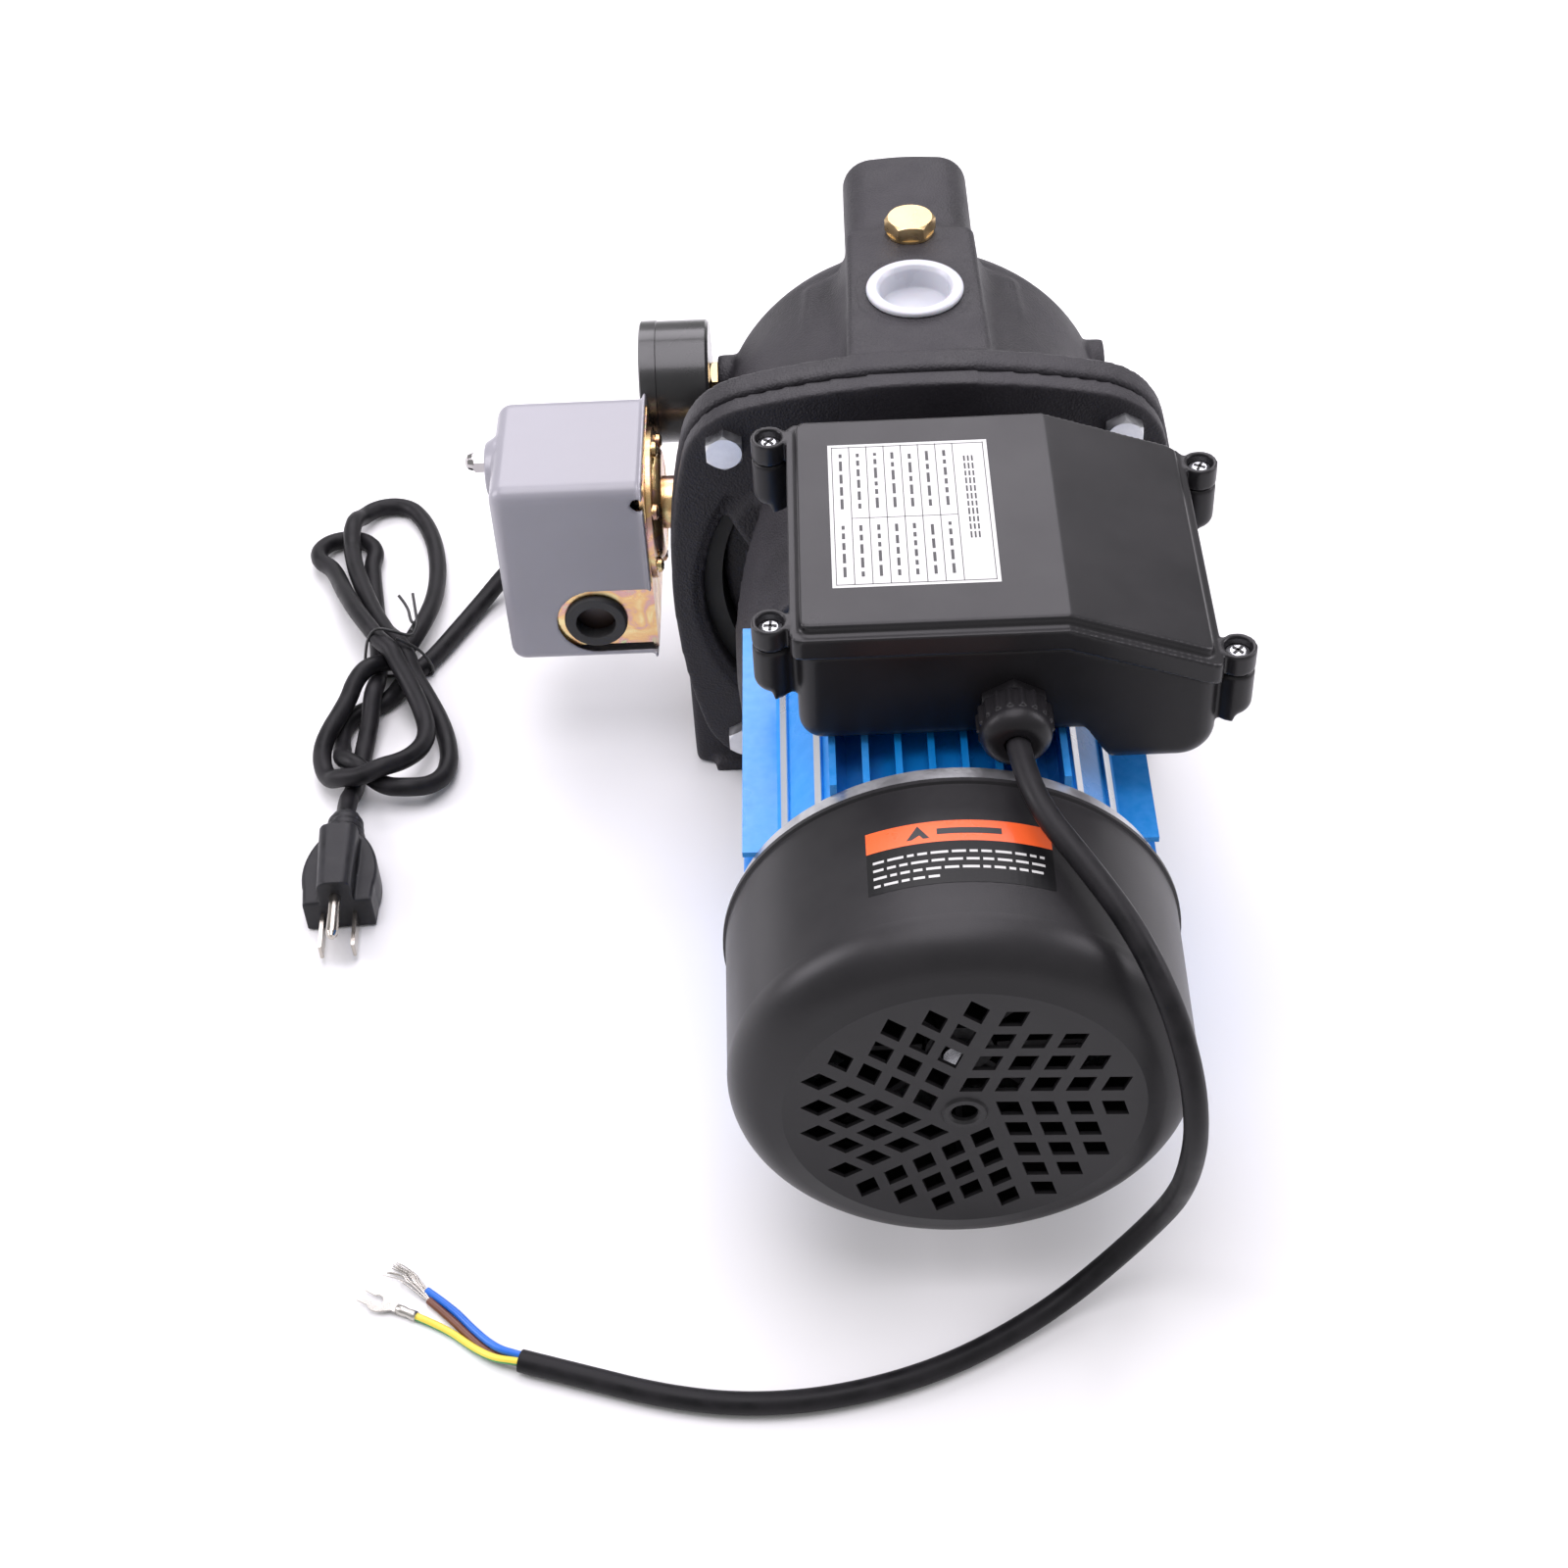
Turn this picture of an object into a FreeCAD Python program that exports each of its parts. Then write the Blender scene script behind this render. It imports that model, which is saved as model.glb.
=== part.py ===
import FreeCAD
import Part
import math
import os

# Shallow well jet pump with a pressure switch, a gauge and two cords. Millimetres, +Z up.
# The origin is on the floor under the shaft, where the pump body meets the motor bracket.
# +Y runs along the shaft to the suction port, -Y to the fan cover. The switch hangs on -X.

V = FreeCAD.Vector
X, Y, Z = V(1, 0, 0), V(0, 1, 0), V(0, 0, 1)

# ---- driving dimensions ----
SHAFT_HEIGHT = 98.0
HOUSING_BORE = 55.0
FRAME_FRONT, FRAME_REAR = -70.0, -180.0
FIN_TIP = 67.5
FIN_STEP, FIN_THICK = 10.6, 2.2
TIE_BOLT_RADIUS = 62.0
CORE_FRONT, CORE_REAR = -76.1, -150.0
ROTOR_RADIUS = 30.0
COVER_RADIUS, COVER_WALL = 75.0, 1.4
COVER_RIM, COVER_FACE, COVER_SCREW_Y = -187.0, -259.1, -194.5
BOLT_OFFSET = 72.5
FLANGE_FRONT = 13.0
GASKET = 1.5
BELL_WALL = 7.0
TOWER_TOP = 93.7
PORT_RADIUS = 15.15
DISCHARGE_Y = 54.6
PRIMING_Y = 94.0
DRAIN_FACE = 138.0
NOSE_UP, NOSE_END = 68.4, 153.0
FOOT_HALF, FOOT_FRONT, FOOT_THICK, SOLE = 94.0, 62.0, 11.0, 5.5
SLOT_X, SLOT_Y, SLOT_RADIUS, SLOT_LENGTH = 72.0, 38.0, 5.5, 18.0
BOX_TOP, BOX_DROP = 216.1, 17.8
BOX_LEFT, BOX_BEND, BOX_RIGHT = -48.75, 37.5, 86.25
BOX_NEAR, BOX_FAR = -165.0, -54.4
GLAND_X, GLAND_Z = 20.6, 180.5
SWITCH_Y, SWITCH_Z = 45.5, 103.6
COVER_NEAR, COVER_FAR = 14.5, 76.5
COVER_LOW, COVER_HIGH = 48.0, 134.6
COVER_OPEN, COVER_END = -106.5, -166.0
GROMMET_X, GROMMET_Z = -130.0, 68.6
STUD_Y, STUD_Z = 50.0, 124.0
GAUGE_Y, GAUGE_Z, GAUGE_RADIUS = 103.5, 120.1, 25.0
CORD_RADIUS = 3.9


def at_shaft(across, along, up=0.0):
    """A point given from the shaft's centre line."""
    return V(across, along, SHAFT_HEIGHT + up)


def rod(start, direction, length, radius):
    return Part.makeCylinder(radius, length, start, direction)


def pipe(start, direction, length, outer, inner):
    return rod(start, direction, length, outer).cut(rod(start, direction, length, inner))


def block(x0, x1, y0, y1, z0, z1):
    return Part.makeBox(x1 - x0, y1 - y0, z1 - z0, V(x0, y0, z0))


def loop(points, place):
    """A closed wire. A step that holds two points is an arc: its middle, then its end."""
    first = last = place(*points[0])
    edges = []
    for step in list(points[1:]) + [points[0]]:
        if isinstance(step[0], tuple):
            middle, end = place(*step[0]), place(*step[1])
            edges.append(Part.Arc(last, middle, end).toShape())
        else:
            end = place(*step)
            if end.distanceToPoint(last) > 1e-6:
                edges.append(Part.LineSegment(last, end).toShape())
        last = end
    if last.distanceToPoint(first) > 1e-6:
        edges.append(Part.LineSegment(last, first).toShape())
    return Part.Wire(edges)


def turned(points, centre, along, across, angle=360):
    """A solid of revolution from (radius, distance along the axis) points."""
    wire = loop(points, lambda radius, t: centre + across * radius + along * t)
    return Part.Face(wire).revolve(centre, along, angle)


def shaft_turned(points, angle=360):
    return turned(points, at_shaft(0, 0), Y, X, angle)


def hexagon(start, direction, length, across_flats):
    """A hexagonal prism with its corners lightly turned off, as on a nut or a bolt head."""
    side = X if abs(direction.x) < 0.5 else Y
    other = direction.cross(side)
    corner = across_flats / math.sqrt(3)
    ring = []
    for i in range(7):
        turn = math.radians(60 * i + 30)
        ring.append(start + side * (corner * math.cos(turn)) + other * (corner * math.sin(turn)))
    prism = Part.Face(Part.makePolygon(ring)).extrude(direction * length)
    bevel = corner - across_flats / 2
    lathe = turned(
        [(0, 0), (corner + 0.01, 0), (corner + 0.01, length - bevel * 0.6), (across_flats / 2, length), (0, length)],
        start, direction, side)
    return prism.common(lathe)


def fused(shapes):
    shapes = list(shapes)
    return shapes[0].multiFuse(shapes[1:]).removeSplitter() if len(shapes) > 1 else shapes[0]


def group(shapes):
    return Part.makeCompound(list(shapes))


def around(count, start=0.0):
    return [start + 360.0 * i / count for i in range(count)]


def spun(shape, angle):
    """A copy turned about the shaft's centre line."""
    copy = shape.copy()
    copy.rotate(at_shaft(0, 0), Y, angle)
    return copy


def polar(radius, angle, along=0.0):
    turn = math.radians(angle)
    return at_shaft(radius * math.cos(turn), along, radius * math.sin(turn))


def bolt_corners():
    return [(side * BOLT_OFFSET, up * BOLT_OFFSET) for side in (-1, 1) for up in (-1, 1)]


# ---- pump end ----

def flange_plate(back, front, inset=0.0):
    """The square flange with bulging sides that both castings share."""
    bulge, side, shoulder, corner = (size - inset for size in (97.0, 88.94, 66.92, 81.01))
    steps = [(-side, -shoulder)]
    for turn in range(4):
        c, s = [(1, 0), (0, -1), (-1, 0), (0, 1)][turn]
        for middle, end in (((-bulge, 0), (-side, shoulder)), ((-corner, corner), (-shoulder, side))):
            steps.append(tuple((a * c - b * s, a * s + b * c) for a, b in (middle, end)))
    wire = loop(steps, lambda a, b: at_shaft(a, back, b))
    return Part.Face(wire).extrude(Y * (front - back))


def above_sole(shape):
    """The two rear flange pieces stop just above the foot's sole."""
    return shape.cut(block(-100, 100, -20, GASKET, -5, SOLE + 0.3))


def bell_profile(wall):
    """Half section of the bell: a slow taper, then a domed front."""
    back, knee, nose = 84.4 - wall, 77.8 - wall, 141.0 - wall
    return [(0, GASKET), (back, GASKET), (back, 5.0), (knee, 105.0 - wall * 0.3),
            ((knee * 0.775, nose - 11.5), (knee * 0.3, nose - 0.8)), (0, nose)]


def tower_section(y, half):
    """Cross section of the flat-topped tower, flaring out into the bell."""
    low, flare = 52.0, half + 17.0
    points = [(-flare, low), (-flare, 68.5), ((-half - 5.0, 74.5), (-half, 85.0)),
              (-half, TOWER_TOP - 3.0), ((-half + 0.9, TOWER_TOP - 0.9), (-half + 3.0, TOWER_TOP)),
              (half - 3.0, TOWER_TOP), ((half - 0.9, TOWER_TOP - 0.9), (half, TOWER_TOP - 3.0)),
              (half, 85.0), ((half + 5.0, 74.5), (flare, 68.5)), (flare, low)]
    return loop(points, lambda a, b: at_shaft(a, y, b))


def foot():
    """Upright plate under the flange, two slotted pads in front of it and a rib over each."""
    corner = 8.0
    plate = block(-FOOT_HALF, FOOT_HALF, GASKET, FLANGE_FRONT, 0, 60)
    edges = [e for e in plate.Edges if e.BoundBox.ZMax < 1 and e.BoundBox.XLength < 1]
    plate = plate.makeFillet(corner, edges)
    pieces = [plate, block(-FOOT_HALF + corner, FOOT_HALF - corner, -3, GASKET + 2, 0, SOLE)]
    for side in (-1, 1):
        inner, outer = sorted((side * 42.0, side * FOOT_HALF))
        pad = block(inner, outer, GASKET + 2, FOOT_FRONT, 0, FOOT_THICK)
        ends = [e for e in pad.Edges if e.BoundBox.YMin > FOOT_FRONT - 1 and e.BoundBox.ZLength > 5]
        pieces.append(pad.makeFillet(corner, ends))
        pieces.append(block(side * 50 - 3.5, side * 50 + 3.5, 8, 56, 4, 33))
    return fused(pieces)


def slot(side):
    reach = SLOT_LENGTH / 2 - SLOT_RADIUS
    ends = [rod(V(side * SLOT_X + step, SLOT_Y, -1), Z, FOOT_THICK + 2, SLOT_RADIUS) for step in (-reach, reach)]
    middle = block(side * SLOT_X - reach, side * SLOT_X + reach, SLOT_Y - SLOT_RADIUS, SLOT_Y + SLOT_RADIUS,
                   -1, FOOT_THICK + 1)
    return fused(ends + [middle])


def nose_section(y, half):
    """Cross section of the suction end: round below, squarer with an arched top above."""
    points = [(-half, 0), (-half, half * 0.45), ((-half * 0.87, half * 0.82), (-half * 0.5, half * 0.97)),
              ((0, half), (half * 0.5, half * 0.97)), ((half * 0.87, half * 0.82), (half, half * 0.45)),
              (half, 0), ((0, -half), (-half, 0))]
    return loop(points, lambda a, b: at_shaft(a, y, NOSE_UP + b))


def pump_body():
    bell = shaft_turned(bell_profile(0))
    tower = Part.makeLoft([tower_section(6.0, 27.2), tower_section(98.0, 24.8)], True, True)
    nose = Part.makeLoft([nose_section(88, 25.1), nose_section(NOSE_END - 1.5, 24.9),
                          nose_section(NOSE_END, 23.6)], True, True)
    solid = fused([bell, flange_plate(GASKET, FLANGE_FRONT), tower, nose, foot(),
                   rod(at_shaft(0, PRIMING_Y, 80), Z, 14.3, 11.5),
                   rod(at_shaft(-66, GAUGE_Y, GAUGE_Z - SHAFT_HEIGHT), -X, 12.5, 10.0),
                   rod(at_shaft(66, GAUGE_Y, GAUGE_Z - SHAFT_HEIGHT), X, 12.5, 10.0),
                   rod(at_shaft(-76, SWITCH_Y, SWITCH_Z - SHAFT_HEIGHT), -X, 10.5, 12.5),
                   rod(at_shaft(0, 112, -60), Y, DRAIN_FACE - 112, 11.5)])
    cavity = shaft_turned(bell_profile(BELL_WALL)).fuse(block(-19, 19, 14, 100, SHAFT_HEIGHT + 50, SHAFT_HEIGHT + 81))
    cavity = cavity.fuse(rod(at_shaft(0, 0, 0), Y, 20, 77.4))
    inner_duct = fused([rod(at_shaft(0, 118, -16), Z, NOSE_UP + 16, 17.0),
                        rod(at_shaft(0, 96, 0), Y, 30, 16.0), rod(at_shaft(0, 120, 0), Y, 17, 13.0)])
    solid = solid.cut(cavity).fuse(inner_duct)
    drills = [rod(at_shaft(0, 118, -12), Z, NOSE_UP + 12, 12.0),
              rod(at_shaft(0, 112, NOSE_UP), Y, 22, 12.0),
              rod(at_shaft(0, NOSE_END - 20, NOSE_UP), Y, 30, PORT_RADIUS),
              rod(at_shaft(0, 90, 0), Y, 20, 11.05),
              rod(at_shaft(0, 120, 0), Y, 14, 6.1),
              rod(at_shaft(0, 132, -30), Z, 30, 2.5),
              rod(at_shaft(0, DISCHARGE_Y, 75), Z, 30, PORT_RADIUS),
              pipe(at_shaft(0, DISCHARGE_Y, TOWER_TOP - 1.0), Z, 5, 22.5, 19.5),
              rod(at_shaft(0, PRIMING_Y, 75), Z, 30, 6.6),
              rod(at_shaft(-60, GAUGE_Y, GAUGE_Z - SHAFT_HEIGHT), -X, 30, 5.05),
              rod(at_shaft(-70, SWITCH_Y, SWITCH_Z - SHAFT_HEIGHT), -X, 30, 6.65),
              rod(at_shaft(0, 100, -60), Y, 40, 6.6)]
    drills += [rod(at_shaft(a, GASKET - 1, b), Y, 20, 4.05) for a, b in bolt_corners()]
    drills += [slot(side) for side in (-1, 1)]
    return solid.cut(fused(drills[:7])).cut(group(drills[7:]))


def body_gasket():
    ring = above_sole(flange_plate(0, GASKET, 2.5)).cut(rod(at_shaft(0, -1), Y, 4, 77.5))
    return ring.cut(group(rod(at_shaft(a, -1, b), Y, 4, 4.4) for a, b in bolt_corners()))


def side_recess(side):
    """The crescent hollow in the flange, beside the chamber wall."""
    steps = [(-74.0, 40.0), ((-84.2, 0.0), (-71.0, -45.0)), (-52.0, -36.0), (-49.0, 2.0), (-60.0, 12.0)]
    wire = loop(steps, lambda a, b: at_shaft(-side * a, -9, b))
    return Part.Face(wire).extrude(Y * 17)


def side_window(side):
    """Opening in the shell behind that hollow, with a slanting upper edge."""
    steps = [(-8.0, 46.0), (-14.0, 44.0), (-52.0, 4.0), ((-54.0, -4.0), (-53.0, -30.0)), (-46.0, -42.0),
             (-8.0, -45.0)]
    wire = loop(steps, lambda a, b: at_shaft(side * 44, a, b))
    return Part.Face(wire).extrude(X * (side * 40))


def bracket():
    """Casting that joins the motor to the pump: flange, tapered shell and front bearing seat."""
    seat = FRAME_FRONT + 9
    shell = shaft_turned([(51.0, FRAME_FRONT - 6), (HOUSING_BORE - 0.1, FRAME_FRONT - 6),
                          (HOUSING_BORE - 0.1, FRAME_FRONT), (70.0, FRAME_FRONT), (77.0, -6), (70.5, -6),
                          (64.0, seat + 12), (51.0, seat)])
    solid = fused([above_sole(flange_plate(-8, 0, 0.6)), rod(at_shaft(0, 0), Y, 14, 76.8), shell,
                   rod(at_shaft(0, -37), Y, 40, 26.0)])
    dry_space = pipe(at_shaft(0, -9), Y, 15, 47.0, 26.0)
    solid = solid.cut(dry_space)
    lip = pipe(at_shaft(0, -9), Y, 2.2, 88.0, 80.0).common(block(-95, 95, -9, -5, 48, 148))
    box_clearance = block(-50, 50, FRAME_FRONT - 1, -50, SHAFT_HEIGHT + 67.6, SHAFT_HEIGHT + 80)
    cuts = [side_recess(1), side_recess(-1), side_window(1), side_window(-1), lip, box_clearance,
            rod(at_shaft(0, -40), Y, 18, 20.0), rod(at_shaft(0, -30), Y, 50, 10.0),
            rod(at_shaft(0, 8), Y, 10, 14.0)]
    solid = solid.cut(fused(cuts[:4])).cut(group(cuts[4:6])).cut(fused(cuts[6:]))
    holes = [rod(at_shaft(a, -10, b), Y, 12, 4.4) for a, b in bolt_corners()]
    holes += [rod(polar(TIE_BOLT_RADIUS, angle, FRAME_FRONT - 1), Y, 9, 2.55) for angle in around(4, 45)]
    return solid.cut(group(holes))


def flange_bolts():
    bolts = []
    for a, b in bolt_corners():
        head = hexagon(at_shaft(a, -8, b), -Y, 5.3, 13.0)
        bolts.append(head.fuse(rod(at_shaft(a, -8, b), Y, 26, 4.0)))
    return group(bolts)


def impeller():
    """Closed brass impeller: two shrouds with six curved blades between them."""
    back = shaft_turned([(6.05, 24.5), (11, 24.5), (11, 27), (52, 27), (52, 30), (12, 30), (10, 38), (6.05, 38)])
    front = shaft_turned([(17, 36), (52, 36), (52, 38.5), (19.5, 38.5), (16.9, 40.2), (16.9, 43), (14.5, 43), (14.5, 38)])
    blade = Part.Face(loop([(15, 0), ((34, 9), (51.5, 5)), (51.5, 7.4), ((34, 11.6), (14, 2.4))],
                           lambda a, b: at_shaft(a, 29.5, b))).extrude(Y * 7)
    return fused([back, front] + [spun(blade, angle) for angle in around(6)])


def impeller_nut():
    nut = hexagon(at_shaft(0, 38.1), Y, 6.5, 14.0)
    return nut.cut(rod(at_shaft(0, 30), Y, 30, 5.0))


def diffuser():
    """Guide cup round the impeller, open through eight ports at its rim."""
    cup = shaft_turned([(58, 15), (62, 15), (62, 50), (17.3, 50), (17.3, 40.5), (21, 40.5), (21, 45), (58, 45)])
    port = block(54, 66, 22, 38, SHAFT_HEIGHT - 7, SHAFT_HEIGHT + 7)
    return cup.cut(group(spun(port, angle) for angle in around(8, 22.5)))


def venturi_tube():
    return shaft_turned([(12, 50.1), (25, 50.1), (25, 54), (14.5, 56), (11, 94), (11, 104), (8.5, 104),
                         (5.5, 94), (5.5, 88), (12, 54)])


def ejector_nozzle():
    return shaft_turned([(2, 107), (3.4, 107), (8, 116), (8, 120), (6, 120.1), (6, 131), (3, 131), (3, 118), (2, 110)])


def seal_seat():
    return shaft_turned([(8.2, 8.05), (13.9, 8.05), (13.9, 14), (8.2, 14)])


def seal_head():
    return shaft_turned([(7.05, 15), (8.5, 14.1), (12, 14.1), (12, 17), (11, 17.5), (12.6, 19), (11, 20.5),
                         (12.6, 22), (12.6, 24), (7.05, 24)])


def discharge_cap():
    """Moulded dust cap, a shallow cup with a broad rim, pushed into the discharge port."""
    return turned([(0, -9), (13.6, -9), (14.7, -8), (14.9, 0), (18.3, 0), (18.3, 1.6), (17.6, 2.2), (14.4, 2.2),
                   (13.3, 0.5), (13.0, -7.5), (0, -7.5)], at_shaft(0, DISCHARGE_Y, TOWER_TOP + 0.05), Z, X)


def threaded_plug(start, direction):
    """Brass plug: hexagon, collar and threaded stem. It fills the priming and the drain hole."""
    stem = turned([(0, -12), (5.6, -12), (6.5, -11), (6.5, 0), (9.2, 0), (9.2, 1.0), (0, 1.0)], start, direction, X)
    head = hexagon(start + direction, direction, 5.6, 17.0)
    head.rotate(start, direction, 30)
    return stem.fuse(head)


def priming_plug():
    return threaded_plug(at_shaft(0, PRIMING_Y, 94.35), Z)


def drain_plug():
    return threaded_plug(at_shaft(0, DRAIN_FACE + 0.05, -60), Y)


# ---- motor ----

def motor_housing():
    """Extruded finned shell. Its four corner lands carry the tie bolts and two bare edges each."""
    length = FRAME_FRONT - FRAME_REAR
    offsets = [FIN_STEP * (i + 0.5) for i in range(-4, 4)]
    fins = []
    for angle in around(4):
        for offset in offsets:
            fin = block(48, FIN_TIP, FRAME_REAR, FRAME_FRONT, SHAFT_HEIGHT + offset - FIN_THICK / 2,
                        SHAFT_HEIGHT + offset + FIN_THICK / 2)
            fins.append(spun(fin, angle))
    for angle in around(4, 45):
        land = block(52, 66.5, FRAME_REAR, FRAME_FRONT, SHAFT_HEIGHT - 12.5, SHAFT_HEIGHT + 12.5)
        edge = block(66, 67.7, FRAME_REAR, FRAME_FRONT, SHAFT_HEIGHT - 1.5, SHAFT_HEIGHT + 1.5)
        fins.append(spun(land, angle))
        for offset in (-8.0, 8.0):
            copy = edge.copy()
            copy.translate(Z * offset)
            fins.append(spun(copy, angle))
    solid = fused([rod(at_shaft(0, FRAME_REAR), Y, length, 60.0)] + fins)
    pad = block(-22, 22, -132, -88, SHAFT_HEIGHT + 56, SHAFT_HEIGHT + 68)
    solid = solid.fuse(pad).cut(rod(at_shaft(0, FRAME_REAR - 1), Y, length + 2, HOUSING_BORE))
    solid = solid.cut(rod(at_shaft(0, -110, 50), Z, 20, 8.0))
    return solid.cut(group(rod(polar(TIE_BOLT_RADIUS, angle, FRAME_REAR - 1), Y, length + 2, 2.8)
                           for angle in around(4, 45)))


def stator_slots(width, inner, outer, rear, front):
    bar = block(inner, outer, rear, front, SHAFT_HEIGHT - width / 2, SHAFT_HEIGHT + width / 2)
    return [spun(bar, angle) for angle in around(24)]


def stator_core():
    core = pipe(at_shaft(0, CORE_REAR), Y, CORE_FRONT - CORE_REAR, HOUSING_BORE - 0.05, ROTOR_RADIUS + 0.4)
    return core.cut(group(stator_slots(4.2, 33.0, 45.0, CORE_REAR - 1, CORE_FRONT + 1)))


def stator_windings():
    """Copper end turns at each end of the core, with the bars that pass through its slots."""
    ends = []
    for start, out in ((CORE_REAR - 0.2, -1), (CORE_FRONT + 0.2, 1)):
        ends.append(turned([(33, 0), (46, 0), (49, 7), (46, 15), (36, 15), (33, 8)], at_shaft(0, start), Y * out, X))
    return fused(ends + stator_slots(3.8, 33.2, 44.8, CORE_REAR - 1, CORE_FRONT + 1))


def rotor_core():
    return shaft_turned([(9.05, CORE_REAR), (18, CORE_REAR), (18, CORE_REAR - 8), (28, CORE_REAR - 8),
                         (28, CORE_REAR), (ROTOR_RADIUS, CORE_REAR), (ROTOR_RADIUS, CORE_FRONT), (28, CORE_FRONT),
                         (28, CORE_FRONT + 8), (18, CORE_FRONT + 8), (18, CORE_FRONT), (9.05, CORE_FRONT)])


def shaft():
    return shaft_turned([(0, -237), (5.4, -237), (6, -236), (6, -187), (7.5, -187), (7.5, -168), (9, -168),
                         (9, -37), (8.5, -37), (8.5, -20), (8, -20), (8, 7.9), (7, 7.9), (7, 24.3), (6, 24.4),
                         (6, 38), (4.9, 38), (4.9, 46), (4.2, 47), (0, 47)])


# bore, inner ring's outside, outer ring's inside, outside radius, ball, rear face and width
BEARINGS = [(8.52, 12.3, 16.2, 19.95, 3.4, -34.1, 12.0), (7.52, 10.8, 14.3, 17.45, 3.0, -179.9, 11.0)]


def race_groove(bearing):
    bore, inner, outer, outside, ball, rear, width = bearing
    return Part.makeTorus((inner + outer) / 2, ball + 0.1, at_shaft(0, rear + width / 2), Y)


def bearing_outer_rings():
    rings = []
    for bearing in BEARINGS:
        bore, inner, outer, outside, ball, rear, width = bearing
        rings.append(pipe(at_shaft(0, rear), Y, width, outside, outer).cut(race_groove(bearing)))
    return group(rings)


def bearing_inner_rings():
    rings = []
    for bearing in BEARINGS:
        bore, inner, outer, outside, ball, rear, width = bearing
        rings.append(pipe(at_shaft(0, rear), Y, width, inner, bore).cut(race_groove(bearing)))
    return group(rings)


def bearing_balls():
    """The balls of both bearings, each set held in its cage."""
    sets = []
    for bearing in BEARINGS:
        bore, inner, outer, outside, ball, rear, width = bearing
        pitch, middle = (inner + outer) / 2, rear + width / 2
        cage = pipe(at_shaft(0, middle - 1.6), Y, 3.2, pitch + 0.9, pitch - 0.9)
        for angle in around(8):
            out = polar(1, angle) - at_shaft(0, 0)
            cage = cage.fuse(turned([(0, -ball), ((ball, 0), (0, ball))], polar(pitch, angle, middle), out, Y))
        sets.append(cage)
    return group(sets)


def end_shield():
    """Cast plate that closes the motor's rear, seats the bearing and carries the fan cover."""
    solid = shaft_turned([(8.5, -186), (22, -186), (55, -184.5), (67, -184.5), (70, -199), (73.3, -199),
                          (73.3, FRAME_REAR - 0.05),
                          (HOUSING_BORE - 0.1, FRAME_REAR - 0.05), (HOUSING_BORE - 0.1, -176),
                          (HOUSING_BORE - 4, -176), (HOUSING_BORE - 4, -180), (22, -180), (22, -168.8),
                          (17.5, -168.8), (17.5, -180), (8.5, -180)])
    holes = [rod(polar(TIE_BOLT_RADIUS, angle, -200), Y, 24, 2.8) for angle in around(4, 45)]
    holes += [rod(polar(64, angle, COVER_SCREW_Y), polar(1, angle) - at_shaft(0, 0), 14, 2.1) for angle in cover_screw_angles()]
    return solid.cut(group(holes))


def tie_bolts():
    """Four long studs that clamp the end shield and the housing to the bracket."""
    bolts = []
    for angle in around(4, 45):
        head = hexagon(polar(TIE_BOLT_RADIUS, angle, -184.6), -Y, 3.5, 8.0)
        bolts.append(head.fuse(rod(polar(TIE_BOLT_RADIUS, angle, -184.6), Y, FRAME_FRONT + 7 + 184.6, 2.5)))
    return group(bolts)


def fan():
    hub = shaft_turned([(6.03, -234), (11, -234), (14, -210), (50, -209.5), (50, -207), (6.03, -206)])
    blade = Part.Face(loop([(12, -208), (66, -208), (66, -222), (60, -232), (12, -232)],
                           lambda a, b: at_shaft(a, b, -1.1))).extrude(Z * 2.2)
    return fused([hub] + [spun(blade, angle) for angle in around(8)])


def grille_holes():
    """Five turns of one sector: rows of diamond holes on a slanted lattice."""
    step, side = 10.97, 7.1
    along = V(math.cos(math.radians(-2.5)), 0, math.sin(math.radians(-2.5)))
    down = V(math.cos(math.radians(-74.5)), 0, math.sin(math.radians(-74.5)))
    first = at_shaft(14.06, COVER_FACE - 3, 1.41)
    holes = []
    for row, count in enumerate((4, 3, 3, 2, 1)):
        for place in range(count):
            centre = first + along * (step * place) + down * (step * row)
            corners = []
            for a, b in ((-1, -1), (1, -1), (1, 1), (-1, 1), (-1, -1)):
                corners.append(centre + along * (a * side / 2) + down * (b * side / 2))
            hole = Part.Face(Part.makePolygon(corners)).extrude(Y * 8)
            holes += [spun(hole, angle) for angle in around(5)]
    return holes


def cover_screw_angles():
    return (-30, -90, -150)


def fan_cover():
    """Drum with a soft shoulder, a crease, and a raised disc that holds the grille."""
    outer, inner, face = COVER_RADIUS, COVER_RADIUS - COVER_WALL, COVER_FACE
    shell = shaft_turned([(outer + 0.9, COVER_RIM), (outer + 0.9, COVER_RIM - 1.5), (outer, COVER_RIM - 2),
                          (outer - 0.8, -242), ((70.9, -252.6), (62.8, -257.6)), (57.0, face), (7.4, face),
                          (6.8, face - 0.8), (5.0, face - 0.8), (4.2, face), (4.2, face + 1.4),
                          (57.4, face + 1.4), (62.4, -256.2), ((69.7, -251.6), (inner - 0.8, -242)),
                          (inner, COVER_RIM - 2), (inner, COVER_RIM)])
    shell = shell.cut(group(grille_holes()))
    holes = [rod(polar(70, angle, COVER_SCREW_Y), polar(1, angle) - at_shaft(0, 0), 10, 2.2) for angle in cover_screw_angles()]
    return shell.cut(group(holes))


def fan_cover_screws():
    screws = []
    for angle in cover_screw_angles():
        out = polar(1, angle) - at_shaft(0, 0)
        screws.append(turned([(0, 66), (2.0, 66), (2.0, 75.1), (3.8, 75.1), (3.4, 76.8), (1.0, 77.2), (0, 77.2)],
                             at_shaft(0, COVER_SCREW_Y), out, Y))
    return group(screws)


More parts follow.
